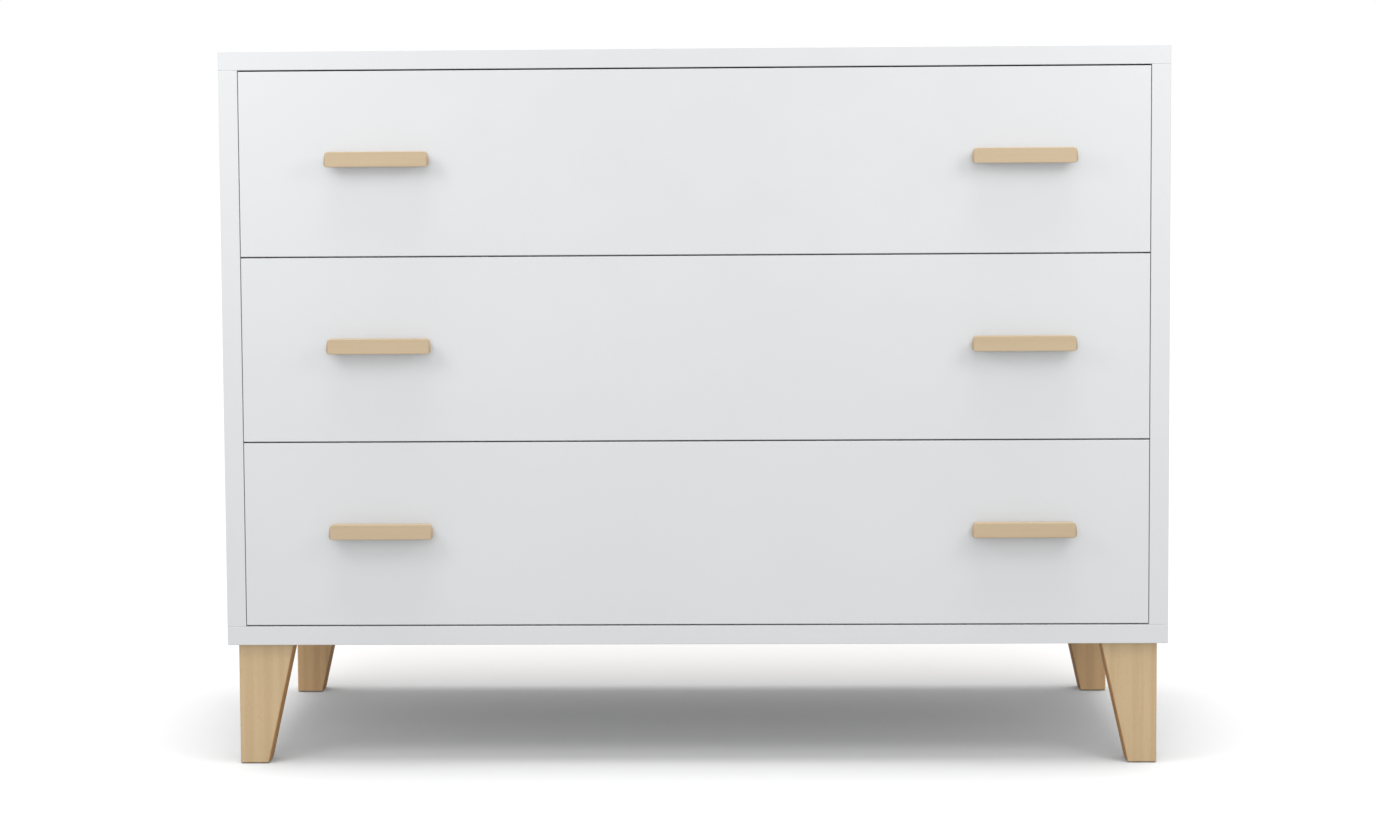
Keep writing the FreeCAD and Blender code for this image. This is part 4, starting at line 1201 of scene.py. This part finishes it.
@dataclass
class StudioCamera:
    """A camera that stands in front of the dresser, a little below its top.

    Attributes:
        place: Where it stands.
        turn: How far it looks to the right, in degrees.
        dip: How far it looks down, in degrees.
        roll: How far it leans to the right, in degrees.
        lens: The focal length, in millimetres.
        sensor: The sensor's width, in millimetres.
        shift: How far the frame is shifted, in widths of the frame.
        clip: The nearest and the farthest that it sees.
    """

    place: Point = (0.0411, -3.4659, 0.7475)
    turn: float = -1.394
    dip: float = 3.716
    roll: float = -0.376
    lens: float = 69.73
    sensor: float = 36.0
    shift: tuple[float, float] = (0.0180, -0.0581)
    clip: tuple[float, float] = (0.05, 200.0)

    def build(self) -> None:
        """Makes the camera and makes it the scene's own."""
        turn, dip, roll = (math.radians(angle) for angle in (self.turn, self.dip, self.roll))
        level = math.cos(dip)
        forward = Vector((math.sin(turn) * level, math.cos(turn) * level, -math.sin(dip)))
        right = Vector((math.cos(turn), -math.sin(turn), 0.0))
        up = right.cross(forward)
        leant_right = right * math.cos(roll) + up * math.sin(roll)
        leant_up = up * math.cos(roll) - right * math.sin(roll)
        axes = Matrix((leant_right, leant_up, -forward)).transposed()
        data = bpy.data.cameras.new("studio_camera")
        data.sensor_width = self.sensor
        data.lens = self.lens
        data.shift_x, data.shift_y = self.shift
        data.clip_start, data.clip_end = self.clip
        camera = put("studio_camera", data)
        camera.matrix_world = Matrix.Translation(self.place) @ axes.to_4x4()
        bpy.context.scene.camera = camera
        LOG.info("camera at %s", self.place)


@dataclass(frozen=True)
class StudioFloor(Finish):
    """A pale matt studio floor.

    Attributes:
        colour: The floor's own colour.
        bounced: The colour of the light that it throws back on what stands on it.
    """

    colour: Colour
    bounced: Colour

    def draw(self, graph: Graph, shader: bpy.types.Node) -> None:
        """Feeds the shader: its own colour where it is looked at, the other for its bounce.

        Args:
            graph: The material's graph.
            shader: The Principled shader.
        """
        looked_at = graph.add("ShaderNodeLightPath").outputs["Is Camera Ray"]
        colour = graph.blend(looked_at, self.bounced, self.colour)
        graph.fill(shader, Specular_IOR_Level=0.0, Base_Color=colour)


@dataclass(frozen=True)
class SoftBox:
    """A large soft light.

    Attributes:
        name: Its name.
        place: Where it hangs.
        target: What it points at.
        size: Its width and height.
        power: Its power in watts.
    """

    name: str
    place: Point
    target: Point
    size: tuple[float, float]
    power: float

    def hang(self) -> None:
        """Makes the light."""
        data = bpy.data.lights.new(self.name, "AREA")
        data.shape = "RECTANGLE"
        data.size, data.size_y = self.size
        data.energy = self.power
        light = put(self.name, data)
        light.visible_camera = False
        aim = Vector(self.target) - Vector(self.place)
        turn = aim.to_track_quat("-Z", "Y").to_matrix().to_4x4()
        light.matrix_world = Matrix.Translation(self.place) @ turn
        LOG.info("%s: %g W", self.name, self.power)


@dataclass
class Studio:
    """A plain pale floor under soft white light.

    Attributes:
        floor_half: Half the floor's width.
        floor_finish: The floor's finish.
        sky: The strength of the light from all round.
        sun: The strength of the soft light from straight above.
        sun_spread: How wide that light is, in degrees.
        boxes: The soft lights.
    """

    floor_half: float = 60.0
    floor_finish: StudioFloor = StudioFloor("studio_floor", 0.9, (0.99, 0.99, 0.99, 1.0),
                                            (0.4, 0.4, 0.4, 1.0))
    sky: float = 0.55
    sun: float = 1.6
    sun_spread: float = 38.0
    boxes: Sequence[SoftBox] = (
        SoftBox("left_box", (-0.95, -0.95, 1.2), (-0.5, -0.24, 0.8), (0.5, 0.5), 2.5),
        SoftBox("right_box", (0.95, -0.95, 1.2), (0.5, -0.24, 0.8), (0.5, 0.5), 2.5),
        SoftBox("front_box", (0.0, -4.6, 2.4), (0.0, -0.2, 0.5), (2.4, 1.5), 17.0),
        SoftBox("low_box", (0.0, -4.6, 0.9), (0.0, -0.2, 0.4), (2.4, 1.3), 24.5),
    )

    def build(self) -> None:
        """Makes the floor and the lights."""
        self.lay_floor()
        self.light_all_round()
        self.light_from_above()
        for box in self.boxes:
            box.hang()
        view = bpy.context.scene.view_settings
        view.view_transform = "Standard"
        view.look = "None"

    def lay_floor(self) -> None:
        """A square of floor around the origin."""
        half = self.floor_half
        corners = [(-half, -half, 0.0), (half, -half, 0.0), (half, half, 0.0), (-half, half, 0.0)]
        mesh = bpy.data.meshes.new("studio_floor")
        mesh.from_pydata(corners, [], [(0, 1, 2, 3)])
        mesh.materials.append(self.floor_finish.material())
        floor = put("studio_floor", mesh)

    def light_from_above(self) -> None:
        """A wide soft light straight down."""
        data = bpy.data.lights.new("overhead", "SUN")
        data.energy = self.sun
        data.angle = math.radians(self.sun_spread)
        put("overhead", data)

    def light_all_round(self) -> None:
        """Even white light from every side; the backdrop itself is plain white."""
        world = bpy.data.worlds.new("studio_light")
        world.use_nodes = True
        graph = Graph(world.node_tree)
        background = world.node_tree.nodes["Background"]
        seen = graph.add("ShaderNodeLightPath").outputs["Is Camera Ray"]
        strength = graph.maths("MULTIPLY_ADD", seen, 1.0 - self.sky, self.sky)
        graph.fill(background, Color=(1.0, 1.0, 1.0, 1.0), Strength=strength)
        bpy.context.scene.world = world


def main() -> None:
    """Builds the dresser's looks and the studio."""
    logging.basicConfig(level=logging.INFO, format="%(name)s: %(message)s")
    StudioCamera().build()
    Studio().build()
    Carcass().build()
    Legs().build()
    for level in ("upper", "middle", "lower"):
        Drawer(level).build()


if __name__ == "__main__":
    main()
